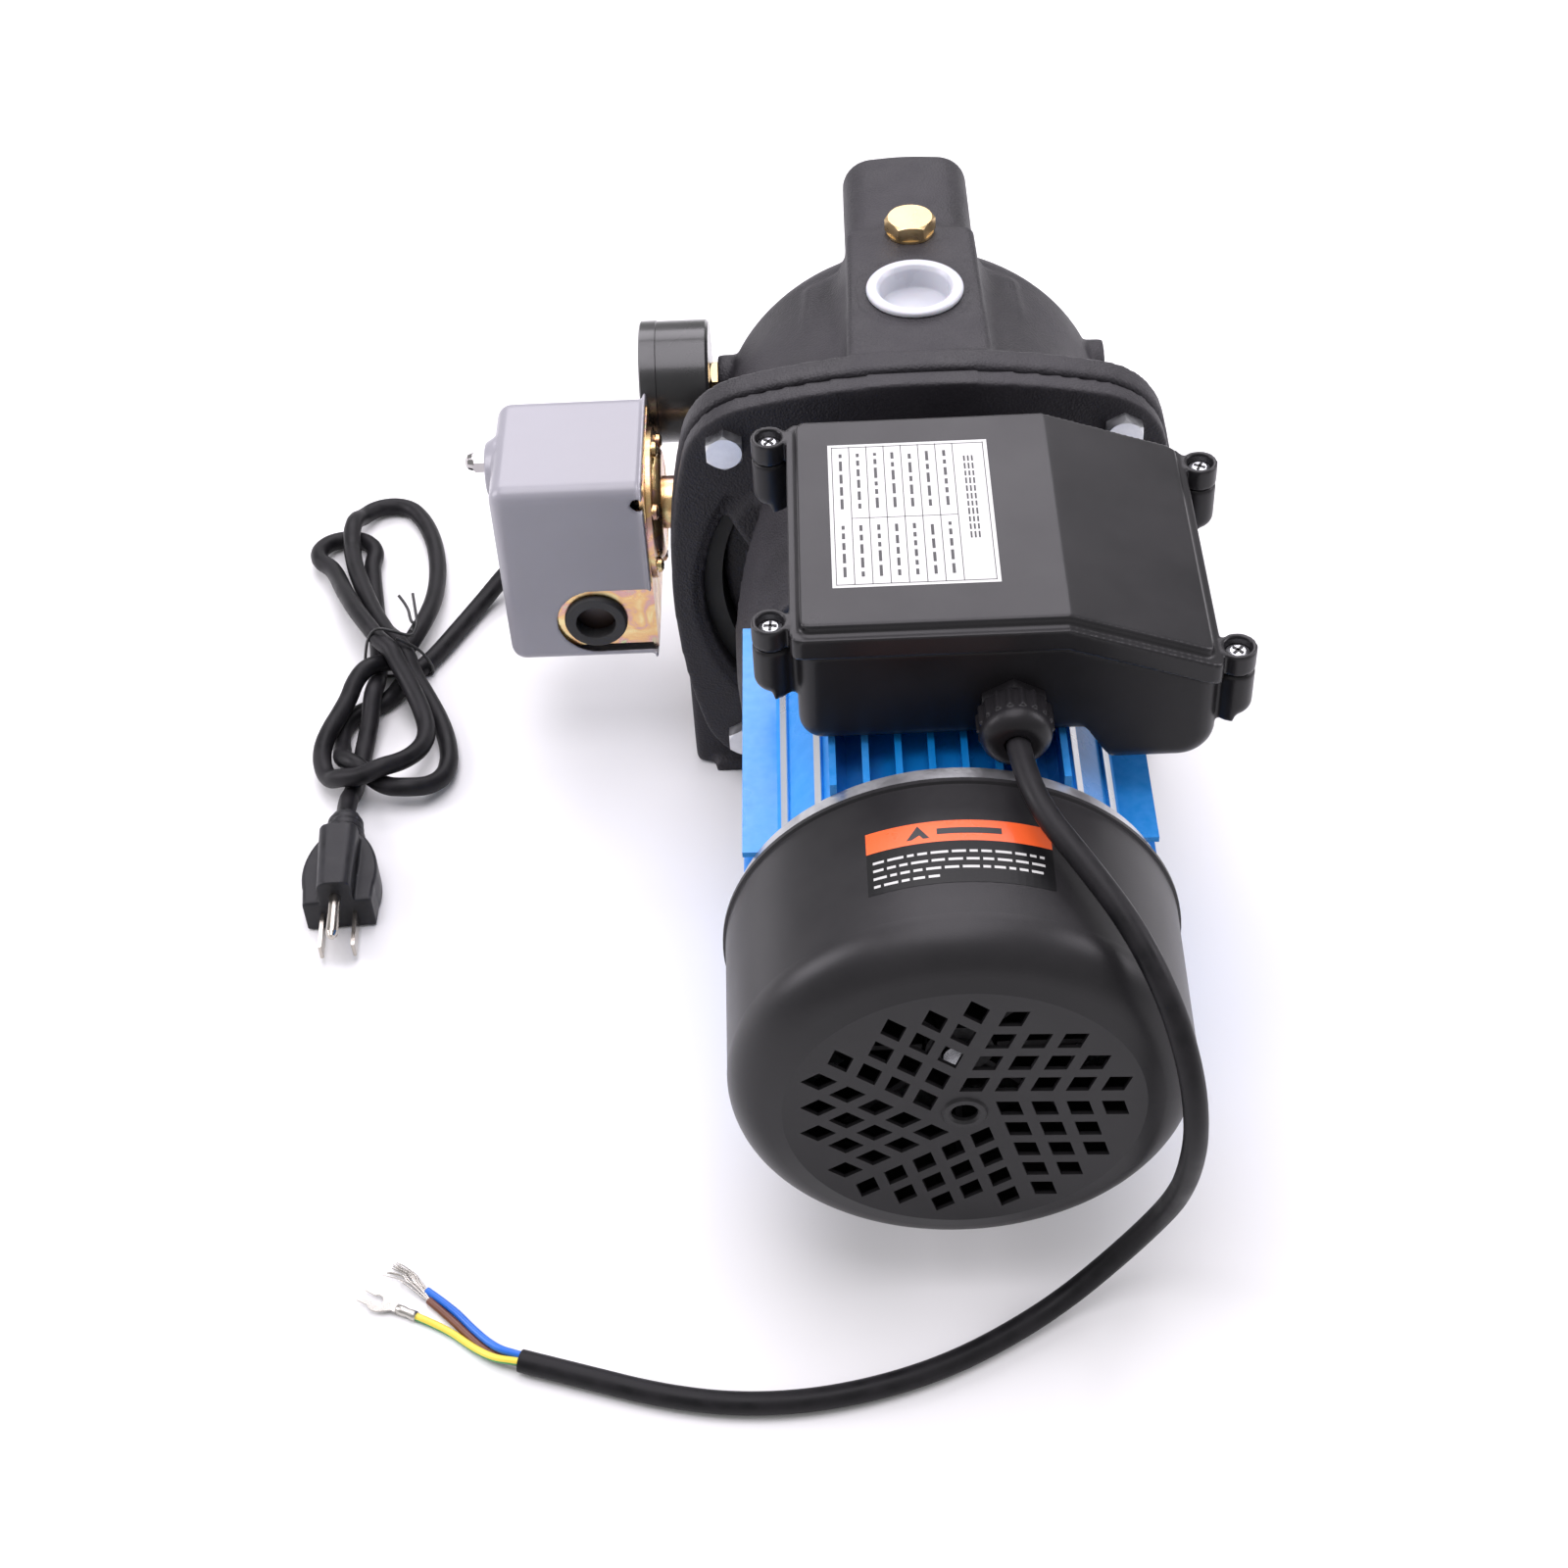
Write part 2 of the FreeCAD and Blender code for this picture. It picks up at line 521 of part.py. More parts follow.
def motor_foot():
    """Moulded rest under the motor's rear, which keeps the set level on the floor."""
    top = SHAFT_HEIGHT - FIN_TIP
    profile = [(-45, 0), (-30, 0), ((0, 12), (30, 0)), (45, 0), (45, 7), (38, top), (-38, top), (-45, 7)]
    return Part.Face(loop(profile, lambda a, b: V(a, -168, b))).extrude(Y * 34)


# ---- terminal box ----

def box_slice(top_gap, bottom, inset, near, far):
    """A slab of the box that follows the lid's bend. The gap is measured down from the lid."""
    left, right = BOX_LEFT + inset, BOX_RIGHT - inset
    fall = BOX_DROP * (right - BOX_BEND) / (BOX_RIGHT - BOX_BEND)
    high = BOX_TOP - top_gap
    points = [(left, high), (BOX_BEND, high), (right, high - fall)] + bottom
    return Part.Face(loop(points, lambda a, b: V(a, near, b))).extrude(Y * (far - near))


def lid_slab(top_gap, depth, inset):
    left, right = BOX_LEFT + inset, BOX_RIGHT - inset
    fall = BOX_DROP * (right - BOX_BEND) / (BOX_RIGHT - BOX_BEND)
    low = BOX_TOP - top_gap - depth
    return box_slice(top_gap, [(right, low - fall), (BOX_BEND, low), (left, low)], inset, BOX_NEAR + inset,
                     BOX_FAR - inset)


def softened(shape, radius, keep):
    """Fillet of the edges that the test keeps."""
    return shape.makeFillet(radius, [edge for edge in shape.Edges if keep(edge.BoundBox)])


def upright(bounds):
    return bounds.XLength < 0.1 and bounds.YLength < 0.1


def box_ears():
    """Centre and top height of the four screw ears."""
    left, right = BOX_LEFT - 5.9, BOX_RIGHT + 5.2
    drop = BOX_TOP - BOX_DROP
    return [(left, -60.8, BOX_TOP - 2.8), (left, -154.8, BOX_TOP - 2.8),
            (right, -60.8, drop - 2.8), (right, -154.8, drop - 2.8)]


def ear(x, y, top, bottom, reach, radius=6.1):
    toward = 1 if x < 0 else -1
    inner = x + toward * reach
    web = block(min(x, inner), max(x, inner), y - 3, y + 3, bottom, top - 2.5)
    return rod(V(x, y, bottom), Z, top - bottom, radius).fuse(web)


def box_lid():
    rim = softened(lid_slab(3.1, 8.2, 0), 3.5, upright)
    panel = softened(lid_slab(0, 4.0, 3.2), 3.0, upright)
    solid = fused([rim, panel] + [ear(x, y, top, top - 8.5, 6.2) for x, y, top in box_ears()])
    solid = solid.cut(lid_slab(5.4, 20, 2.6)).cut(lid_slab(2.5, 20, 5.8))
    holes = []
    for x, y, top in box_ears():
        holes.append(rod(V(x, y, top - 20), Z, 30, 2.1))
        holes.append(rod(V(x, y, top - 4.5), Z, 10, 4.4))
    return solid.cut(group(holes))


def box_body(inset, gap):
    """Outer form of the box's lower half, with the deeper bay for the capacitor."""
    left, right = BOX_LEFT + 1.5 + inset, BOX_RIGHT - inset
    near, far = BOX_NEAR + 2.5 + inset, BOX_FAR - 2.5 - inset
    floor, bay = 166.05 + inset, 152.5 + inset
    high = BOX_TOP - gap
    low_high = high - BOX_DROP * (right - BOX_BEND) / (BOX_RIGHT - BOX_BEND)
    points = [(left, high), (BOX_BEND, high), (right, low_high), (right, bay + 12),
              ((right - 3.5, bay + 3.5), (right - 12, bay)), (54 + inset, bay), (46 + inset, floor), (left + 8, floor),
              ((left + 2.3, floor + 2.3), (left, floor + 8))]
    return Part.Face(loop(points, lambda a, b: V(a, near, b))).extrude(Y * (far - near))


def box_base():
    outer = softened(box_body(0, 12.4), 7.0, upright)
    solid = fused([outer] + [ear(x, y, top - 8.6, top - 28, 9) for x, y, top in box_ears()])
    for x, y, top in box_ears():
        low = top - 28
        keep = turned([(0, 0.6), ((4.6, 2.4), (6.15, 7.0)), (6.15, 40), (30, 40), (30, -10), (0, -10)],
                      V(x, y, low), Z, X)
        side = block(x - 30 if x < 0 else x, x if x < 0 else x + 30, y - 20, y + 20, low - 1, low + 8)
        solid = solid.cut(keep.common(side))
    solid = solid.cut(box_body(2.6, -20))
    holes = [rod(V(GLAND_X, BOX_NEAR - 5, GLAND_Z), Y, 15, 8.05), rod(V(0, -110, 160), Z, 12, 8.0)]
    holes += [rod(V(x, y, top - 24), Z, 20, 1.8) for x, y, top in box_ears()]
    return solid.cut(group(holes))


def box_gasket():
    """Flat ring between the lid's skirt and the base's rim."""
    return box_body(1.2, 11.35).cut(box_body(-4, 12.35)).cut(box_body(2.6, -20))


def box_screws():
    screws = []
    for x, y, top in box_ears():
        screws.append(turned([(0, -22), (1.7, -22), (1.7, -4.4), (3.9, -4.4), (3.9, -3.2), (2.4, -2.2), (0, -2.0)],
                             V(x, y, top), Z, X))
    return group(screws)


def capacitor():
    return turned([(0, 0), (15, 0), (16, 1), (16, 84), (13, 85), (0, 85)], V(66.5, -152, 171.6), Y, X)


def terminal_block():
    base = block(-33, 23, -146, -122, 168.8, 180)
    posts = [block(-31 + 18.5 * i, -31 + 18.5 * i + 15, -144, -124, 179.9, 187) for i in range(3)]
    return fused([base] + posts)


def gland_body():
    centre = V(GLAND_X, BOX_NEAR + 2.5, GLAND_Z)
    stem = rod(centre - Y * 5, Y, 14, 8.0).fuse(hexagon(centre - Y * 0.05, -Y, 4.0, 20.0))
    return stem.cut(rod(centre - Y * 10, Y, 30, CORD_RADIUS + 0.1))


def gland_nut():
    """Ribbed clamping nut with a domed end that grips the motor cord."""
    centre = V(GLAND_X, BOX_NEAR - 1.7, GLAND_Z)
    dome = turned([(8.1, 0), (11.4, 0), (11.4, 8), ((10.2, 12.2), (6.2, 14.2)), (CORD_RADIUS + 0.1, 14.2),
                   (CORD_RADIUS + 0.1, 3.5), (8.1, 3.5)], centre, -Y, X)
    ribs = []
    for angle in around(18):
        turn = math.radians(angle)
        rib = V(GLAND_X + 11.4 * math.cos(turn), BOX_NEAR - 1.8, GLAND_Z + 11.4 * math.sin(turn))
        ribs.append(rod(rib, -Y, 7.6, 0.9))
    return fused([dome] + ribs)


# ---- pressure switch ----

def switch_centre(x):
    return V(x, SWITCH_Y, SWITCH_Z)


def switch_nipple():
    """Brass nipple with a hexagon that screws the switch to the pump body."""
    pieces = [rod(switch_centre(-74), -X, 25.0, 6.55), hexagon(switch_centre(-86.6), -X, 7.0, 16.0)]
    return fused(pieces).cut(rod(switch_centre(-60), -X, 50, 3.0))


def diaphragm_housing():
    solid = turned([(22, 106), (29.8, 106), (29.8, 104), (22.6, 103.6), ((21.2, 101.4), (17, 100.8)), (10.5, 100.8),
                    (10.5, 95.5), (6.65, 95.5), (6.65, 101.5), (4, 101.5), (4, 102.8), (20, 102.8), (22, 104.5)],
                   V(0, SWITCH_Y, SWITCH_Z), -X, Y)
    return solid.cut(group(rod(point, X, 20, 2.1) for point in switch_screw_places(-112)))


def switch_screw_places(x):
    return [V(x, SWITCH_Y + 26.3 * math.cos(math.radians(a)), SWITCH_Z + 26.3 * math.sin(math.radians(a)))
            for a in around(6, 30)]


def switch_plate():
    """Plated base plate with two folded ears that carry the cord grommets."""
    plate = block(-108, -106.1, COVER_NEAR + 2.0, COVER_FAR - 2.0, COVER_LOW + 2.5, COVER_HIGH - 2.5)
    plate = softened(plate, 4.5, lambda b: b.XLength > 1 and b.YLength < 0.1 and b.ZLength < 0.1)
    ears = []
    for y in (COVER_NEAR + 2.0, COVER_FAR - 3.5):
        one = block(-148, -106.1, y, y + 1.5, COVER_LOW + 7.5, 90)
        ears.append(one.cut(rod(V(GROMMET_X, y - 5, GROMMET_Z), Y, 12, 9.6)))
    solid = fused([plate] + ears)
    cuts = [rod(point, X, 20, 2.1) for point in switch_screw_places(-115)]
    cuts += [rod(switch_centre(-104), -X, 8, 6.0), rod(V(-104, STUD_Y, STUD_Z), -X, 8, 3.1)]
    return solid.cut(group(cuts))


def switch_screws():
    screws = []
    for point in switch_screw_places(0):
        screws.append(turned([(0, 110), (2, 110), (2, 103.5), (3.2, 103.5), (3.0, 102.1), (1.8, 101.4), (0, 101.4)],
                             point, -X, Y))
    return group(screws)


def switch_cover():
    """Pressed steel cover, open towards the pump, with a mouth in each narrow side."""
    outer = block(COVER_END, COVER_OPEN, COVER_NEAR, COVER_FAR, COVER_LOW, COVER_HIGH)
    outer = softened(outer, 6.0, lambda b: b.XMax < COVER_OPEN - 1 or b.XLength > 20)
    wall = 1.2
    inner = block(COVER_END + wall, COVER_OPEN + 5, COVER_NEAR + wall, COVER_FAR - wall, COVER_LOW + wall,
                  COVER_HIGH - wall)
    inner = softened(inner, 4.8, lambda b: b.XMax < COVER_OPEN - 1 or b.XLength > 20)
    lip = block(COVER_OPEN - 1.2, COVER_OPEN, COVER_NEAR - 1.6, COVER_FAR + 1.6, COVER_LOW - 1.0, COVER_HIGH + 1.6)
    lip = softened(lip, 6.0, lambda b: b.XLength > 1 and b.YLength < 0.1 and b.ZLength < 0.1)
    pad = turned([(0, 0), (13, 0), (10.5, 4.2), (0, 4.2)], V(COVER_END + 0.5, STUD_Y, STUD_Z - 4), -X, Y)
    pad = pad.common(block(COVER_END - 10, COVER_END + 1, COVER_NEAR, COVER_FAR, COVER_LOW, COVER_HIGH))
    solid = fused([outer, lip, pad]).cut(inner)
    mouth = rod(V(GROMMET_X + 0.5, COVER_NEAR - 5, GROMMET_Z), Y, 80, 15.8)
    mouth = mouth.fuse(block(GROMMET_X + 0.5, COVER_OPEN + 5, COVER_NEAR - 5, COVER_FAR + 5, GROMMET_Z - 15.8,
                             GROMMET_Z + 15.8))
    notch = rod(V(COVER_OPEN - 2, COVER_NEAR - 5, 126.5), Y, 12, 2.8)
    return solid.cut(group([mouth, notch, rod(V(COVER_END + 5, STUD_Y, STUD_Z), -X, 20, 3.2)]))


def cover_nut():
    start = V(COVER_END - 3.75, STUD_Y, STUD_Z)
    nut = hexagon(start, -X, 4.5, 8.0)
    dome = turned([(0, 3), (3.6, 3), (3.6, 5), (3.0, 6.9), (1.6, 7.9), (0, 8.2)], start, -X, Y)
    return nut.fuse(dome).cut(rod(start + X, -X, 6.2, 3.1))


def range_stud():
    """Threaded stud through the range spring, with the nut that sets the spring."""
    stud = rod(V(-106.1, STUD_Y, STUD_Z), -X, 68.5, 3.0)
    nut = hexagon(V(-150, STUD_Y, STUD_Z), -X, 5.0, 10.0)
    return stud.fuse(nut)


def range_spring():
    start, length, pitch, radius, wire = V(-116, STUD_Y, STUD_Z), 32.0, 5.2, 7.2, 1.3
    helix = Part.makeHelix(pitch, length, radius)
    profile = Part.Wire(Part.Circle(V(radius, 0, 0), Y, wire).toShape())
    coil = Part.Wire(helix).makePipeShell([profile], True, True)
    coil.rotate(V(0, 0, 0), Y, -90)
    coil.translate(start)
    return coil


def contact_block():
    base = block(-138, -117, 22, 68, 53, 81)
    gaps = [block(-139, -126, 31 + 11.5 * i, 33 + 11.5 * i, 52, 82) for i in range(3)]
    screws = [rod(V(-138, 26.5 + 11.8 * i, 67), X, 4, 2.6) for i in range(4)]
    return base.cut(group(gaps + screws))


def switch_lever():
    """Rocking plate that the diaphragm lifts against the range spring."""
    plate = block(-112, -110.5, 24, 67, 52.5, 131)
    return plate.cut(rod(V(-100, STUD_Y, STUD_Z), -X, 20, 4.6))


def diaphragm_pusher():
    stem = rod(switch_centre(-110.4), X, 6.0, 5.0)
    return stem.fuse(rod(switch_centre(-104.6), X, 1.6, 16.0))


def switch_grommets():
    """Rubber rings in the two ears. The near one is empty, and the far one grips the cord."""
    rings = []
    for y, side, hole in ((COVER_NEAR + 2.75, -1, 7.8), (COVER_FAR - 2.75, 1, CORD_RADIUS + 0.05)):
        rings.append(turned([(hole, -2.6), (11.0, -2.6), (11.0, -0.8), (9.5, -0.8), (9.5, 0.8), (12.6, 0.8),
                             (12.6, 2.0), (11.8, 3.4), (hole, 3.4)], V(GROMMET_X, y, GROMMET_Z), Y * side, X))
    return group(rings)


# ---- pressure gauge ----

def gauge_turned(points):
    """Turned about the gauge's centre line. Distances run along -X."""
    return turned(points, V(0, GAUGE_Y, GAUGE_Z), -X, Y)


def gauge_case():
    r = GAUGE_RADIUS
    return gauge_turned([(5.1, 81.6), (r - 1.5, 81.6), (r - 0.3, 82.8), (r - 0.3, 102.6), (r, 102.9), (r, 109.0),
                         (r - 1, 109.6), (r - 3, 109.6), (r - 3, 108.6), (r - 1.5, 108.6), (r - 1.5, 83.2),
                         (5.1, 83.2)])


def gauge_dial():
    return gauge_turned([(2.1, 103.5), (23.3, 103.5), (23.3, 104.4), (2.1, 104.4)])


def gauge_lens():
    return gauge_turned([(0, 107.2), (23.3, 107.2), (23.3, 108.5), (0, 108.5)])


def gauge_connector():
    """Brass connector with the pointer arbor and the curved tube that moves it."""
    arbor = rod(V(-81, GAUGE_Y, GAUGE_Z), -X, 21.5, 1.9)
    stem = rod(V(-66, GAUGE_Y, GAUGE_Z), -X, 20.0, 5.0)
    nut = hexagon(V(-78.6, GAUGE_Y, GAUGE_Z), -X, 2.9, 14.0)
    tube = Part.makeTorus(14, 2.2, V(-94, GAUGE_Y, GAUGE_Z), X, -180, 180, 270)
    leg = rod(V(-84, GAUGE_Y, GAUGE_Z), -X, 10.0, 3.0)
    arm = rod(V(-94, GAUGE_Y, GAUGE_Z), Y, 14.0, 2.0)
    return fused([arbor, stem, nut, leg, arm, tube])


def gauge_pointer():
    """Pointer at zero, which lies low on the left of the dial as it is read."""
    hub = rod(V(-104.9, GAUGE_Y, GAUGE_Z), -X, 1.6, 3.0)
    needle = Part.Face(loop([(-6, -1.3), (17, -0.5), (17, 0.5), (-6, 1.3)],
                            lambda a, b: V(-105.3, GAUGE_Y + a, GAUGE_Z + b))).extrude(-X * 0.7)
    needle.rotate(V(0, GAUGE_Y, GAUGE_Z), X, -45)
    return hub.fuse(needle)


# ---- cords ----

# Lead of the motor: out of the gland, over the fan cover's shoulder, then round on the floor.
MOTOR_ROUTE = [(20.6, -181, 180.5), (25.1, -203.9, 177.1), (38.1, -223.4, 171.3), (50.6, -242.5, 163.8),
               (60.3, -260.7, 151.3), (66.6, -273.3, 131.9), (69.4, -277.1, 108.3), (69.4, -273.6, 84.5),
               (68.2, -266.6, 61.4), (63.8, -259.7, 39), (51.1, -260.5, 19.1), (33, -268.5, 6.2), (12.8, -280.6, 4),
               (-8.1, -291.3, 4), (-31, -298.7, 4.1), (-54.8, -302.6, 4), (-79, -302.5, 4), (-102.6, -298.1, 4),
               (-125.6, -290.8, 4), (-148.5, -283.5, 4)]
# Lead of the switch: out of the far grommet, round behind the switch and down to the hank.
SWITCH_ROUTE = [(-130, 78.5, 68.6), (-132, 98.9, 64.6), (-138.2, 116.1, 52.9), (-148.4, 125.9, 37.4),
                (-162.9, 127.6, 22.3), (-178.9, 120.9, 10.5), (-193.2, 107.1, 4.1), (-203.1, 88.4, 4),
                (-210.9, 68.5, 4.2), (-216, 48, 4.5)]
# From the hank to the plug.
TAIL_ROUTE = [(-231, 12, 5), (-234.8, -3.8, 5.3), (-236, -19.6, 9.1), (-234.9, -31.9, 11)]


def cord_path(points, name):
    """Straight runs joined by arcs that are tangent to both."""
    corners = [V(*point) for point in points]
    edges, radii, start = [], [], corners[0]
    for before, corner, after in zip(corners, corners[1:], corners[2:]):
        back, ahead = before - corner, after - corner
        short = min(back.Length, ahead.Length)
        turn = math.pi - back.getAngle(ahead)
        cut = 0.45 * short
        radii.append(cut / math.tan(turn / 2))
        back.normalize()
        ahead.normalize()
        enter, leave = corner + back * cut, corner + ahead * cut
        middle_line = back + ahead
        middle_line.normalize()
        reach = radii[-1] / math.cos(turn / 2) - radii[-1]
        edges.append(Part.LineSegment(start, enter).toShape())
        edges.append(Part.Arc(enter, corner + middle_line * reach, leave).toShape())
        start = leave
    edges.append(Part.LineSegment(start, corners[-1]).toShape())
    print(name, "arc radii", [round(radius) for radius in radii])
    return Part.Wire(edges)


def tube_along(points, radius, name):
    path = cord_path(points, name)
    start, after = V(*points[0]), V(*points[1])
    profile = Part.Wire(Part.Circle(start, after - start, radius).toShape())
    tube = path.makePipeShell([profile], True, False)
    ideal = math.pi * radius ** 2 * path.Length
    print(name, "length", round(path.Length), "volume ratio", round(tube.Volume / ideal, 4), tube.isValid())
    return tube


def motor_cord():
    return tube_along(MOTOR_ROUTE, CORD_RADIUS, "motor cord")


def cord_wires():
    """Three insulated wires with bared ends, one crimped into a fork terminal."""
    start = V(*MOTOR_ROUTE[-1])
    heading = (start - V(*MOTOR_ROUTE[-2])).normalize()
    side = heading.cross(Z).normalize()
    routes = [
        [(-163.5, -273.5, 2.2), (-173, -262, 1.5), (-183, -253, 1.5)],
        [(-163.5, -277, 1.8), (-173.5, -267, 1.5), (-182, -257, 1.5)],
        [(-164, -279, 2.2), (-175, -270, 1.5), (-186.5, -263, 1.8)],
    ]
    offsets = [(1.7, 1.0), (0.0, -1.7), (-1.7, 1.0)]
    pieces = []
    for number, (route, (across, up)) in enumerate(zip(routes, offsets)):
        begin = start + side * across + Z * up + heading * 0.02
        points = [tuple(begin), tuple(begin + heading * 8)] + route
        pieces.append(tube_along(points, 1.35, "wire " + str(number)))
        end, before = V(*route[-1]), V(*route[-2])
        ahead = (end - before).normalize()
        if number < 2:
            spread = V(ahead.x, ahead.y + 0.35, 0).normalize()
            pieces.append(rod(end + ahead * 0.02, spread, 17, 0.7))
        else:
            barrel = rod(end + ahead * 0.02, ahead, 6, 1.8)
            neck = rod(end + ahead * 5, ahead, 4, 0.9)
            fork = ring_fork(end + ahead * 8, ahead)
            pieces.append(fused([barrel, neck, fork]))
    return group(pieces)


def ring_fork(start, ahead):
    """Flat fork terminal, open at its far end."""
    low = start - Z * 0.5
    disc = rod(low + ahead * 4.2, Z, 0.9, 4.3).cut(rod(low + ahead * 4.2 - Z, Z, 3, 2.2))
    gap = Part.makeBox(10, 3.6, 3, V(0, -1.8, -1))
    gap.rotate(V(0, 0, 0), Z, math.degrees(math.atan2(ahead.y, ahead.x)))
    gap.translate(low + ahead * 4.2)
    return disc.cut(gap)


def switch_cord_hank():
    """Outer form of the tied bow: a long upper lobe, a lower lobe and the narrow waist between."""
    def lobe(x, y, across, along, turn):
        wire = Part.Wire(Part.Ellipse(V(0, 0, 0), along, across).toShape())
        solid = Part.Face(wire).extrude(Z * 16)
        solid.rotate(V(0, 0, 0), Z, 90 + turn)
        solid.translate(V(x, y, 0.2))
        return solid
    upper = lobe(-238.5, 124, 29, 57, 3)
    lower = lobe(-221.5, 16, 31, 41, 6)
    waist = block(-244, -213, 40, 85, 0.2, 16.2)
    return fused([upper, lower, waist])


def switch_cord():
    hank = switch_cord_hank()
    lead = tube_along(SWITCH_ROUTE, CORD_RADIUS, "switch cord").cut(hank)
    tail = tube_along(TAIL_ROUTE, CORD_RADIUS, "plug tail").cut(hank)
    return group([lead, tail])


def cord_tie():
    """Wire tie round the waist of the bow, with its two twisted ends standing up."""
    band = block(-245.6, -205.5, 62, 64.5, 0.0, 17.6).cut(block(-244.1, -207.0, 60, 66, -1, 16.3))
    ends = []
    for lean in (-0.35, 0.45):
        ends.append(rod(V(-226, 63.25, 17.4), V(lean, 0.5, 0.8), 12, 0.6))
    return fused([band] + ends)


def plug_place(shape):
    shape.rotate(V(0, 0, 0), Z, 3)
    shape.translate(V(-234.6, -32.5, 11))
    return shape


def plug_body():
    """Moulded three-pin plug with a ringed neck. It lies on its flat side, pins towards -Y."""
    neck = turned([(0, 0.3), (5.6, 0.3), (6.2, 3), (7.2, 3.4), (7.2, 5.6), (6.4, 6.4), (7.6, 7), (7.6, 9.4), (6.8, 10.2),
                   (8.2, 10.8), (8.2, 14), (0, 14)], V(0, 0, 0), -Y, X)
    shell = loop([(-8, 14), (8, 14), ((13.2, 24), (14, 42)), (13.4, 50.5), (-13.4, 50.5), (-14, 42),
                  ((-13.2, 24), (-8, 14))], lambda a, b: V(a, -b, -10.8))
    shell = Part.Face(shell).extrude(Z * 15.5)
    ridge = loop([(-7.6, 18), (7.6, 18), (6.6, 50.5), (-6.6, 50.5)], lambda a, b: V(a, -b, 3))
    ridge = Part.Face(ridge).extrude(Z * 12.5)
    ridge = softened(ridge, 4.0, lambda b: b.ZMin > 15 and b.YLength > 20)
    shell = softened(shell, 1.5, lambda b: b.ZLength < 0.1)
    return plug_place(fused([neck, shell, ridge]))


def plug_pins():
    """Two flat blades and the rounded earth pin above them."""
    blades = []
    for x in (-6.35, 6.35):
        blade = block(x - 0.75, x + 0.75, -68.3, -50.55, -7.6, -1.2)
        blades.append(softened(blade, 0.6, lambda b: b.YMax < -68 and b.ZLength > 3))
    earth = turned([(0, 50.55), (2.35, 50.55), (2.35, 69.5), (1.4, 71.4), (0, 72)], V(0, 0, 7.4), -Y, X)
    return plug_place(group(blades + [earth]))


PIECES = [
    pump_body, body_gasket, bracket, flange_bolts, impeller, impeller_nut, diffuser, venturi_tube, ejector_nozzle,
    seal_seat, seal_head, discharge_cap, priming_plug, drain_plug,
    motor_housing, stator_core, stator_windings, rotor_core, shaft, bearing_outer_rings, bearing_inner_rings,
    bearing_balls, end_shield, tie_bolts, fan, fan_cover, fan_cover_screws, motor_foot,
    box_base, box_lid, box_gasket, box_screws, capacitor, terminal_block, gland_body, gland_nut,
    switch_plate, diaphragm_housing, switch_screws, switch_cover, cover_nut, range_stud, range_spring,
    contact_block, switch_lever, diaphragm_pusher, switch_grommets, switch_nipple,
    gauge_case, gauge_dial, gauge_lens, gauge_pointer, gauge_connector,
    motor_cord, cord_wires, switch_cord, switch_cord_hank, cord_tie, plug_body, plug_pins,
]

os.makedirs("parts", exist_ok=True)
for piece in PIECES:
    shape = piece()
    name = piece.__name__
    solids = shape.Solids
    if not solids or not all(solid.isValid() and solid.isClosed() for solid in solids):
        print("not closed:", name, [solid.isValid() for solid in solids])
    print(name, len(solids), round(shape.Volume))
    shape.exportStep("parts/" + name + ".step")
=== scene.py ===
# %% [markdown]
# # A shallow well jet pump
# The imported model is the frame: every casting, bolt and cable already has its place in it.
# This lesson dresses that frame. Castings are copied and softened, cords become smooth curves,
# small repeated things are grown with Geometry Nodes, and every surface gets its own finish.

# %% Load the frame
import math
import random

import bmesh
import bpy
from mathutils import Matrix, Vector


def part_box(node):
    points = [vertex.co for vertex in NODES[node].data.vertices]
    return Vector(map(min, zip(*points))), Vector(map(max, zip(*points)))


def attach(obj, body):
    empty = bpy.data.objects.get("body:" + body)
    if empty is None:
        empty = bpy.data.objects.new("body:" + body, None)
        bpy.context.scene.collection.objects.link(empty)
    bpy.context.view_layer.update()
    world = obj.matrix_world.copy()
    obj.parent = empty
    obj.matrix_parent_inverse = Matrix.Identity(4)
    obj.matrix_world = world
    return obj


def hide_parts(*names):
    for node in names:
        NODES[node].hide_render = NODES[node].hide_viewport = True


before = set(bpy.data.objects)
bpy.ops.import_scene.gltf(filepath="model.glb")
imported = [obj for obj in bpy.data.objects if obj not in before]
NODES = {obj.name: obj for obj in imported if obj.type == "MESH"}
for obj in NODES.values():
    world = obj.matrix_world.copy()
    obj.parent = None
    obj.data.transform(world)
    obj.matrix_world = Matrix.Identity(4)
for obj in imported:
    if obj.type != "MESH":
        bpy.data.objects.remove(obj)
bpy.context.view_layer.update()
scene = bpy.context.scene
MM = 0.001
print("frame loaded:", len(NODES), "nodes")

# %% [markdown]
# The camera stands behind the motor and looks down on it, a little rolled.
# Yaw, pitch and roll are turned into the camera's own three axes, which are the columns of its matrix.

# %% Camera
CAMERA_AT = Vector((-0.03388, -0.73729, 0.7200))
YAW, PITCH, ROLL = (math.radians(a) for a in (-1.92, -44.77, -3.55))


def camera_axes(yaw, pitch, roll):
    ahead = Vector((math.sin(yaw) * math.cos(pitch), math.cos(yaw) * math.cos(pitch), math.sin(pitch)))
    level = Vector((math.cos(yaw), -math.sin(yaw), 0))
    rise = level.cross(ahead)
    right = level * math.cos(roll) + rise * math.sin(roll)
    up = rise * math.cos(roll) - level * math.sin(roll)
    return right, up, -ahead


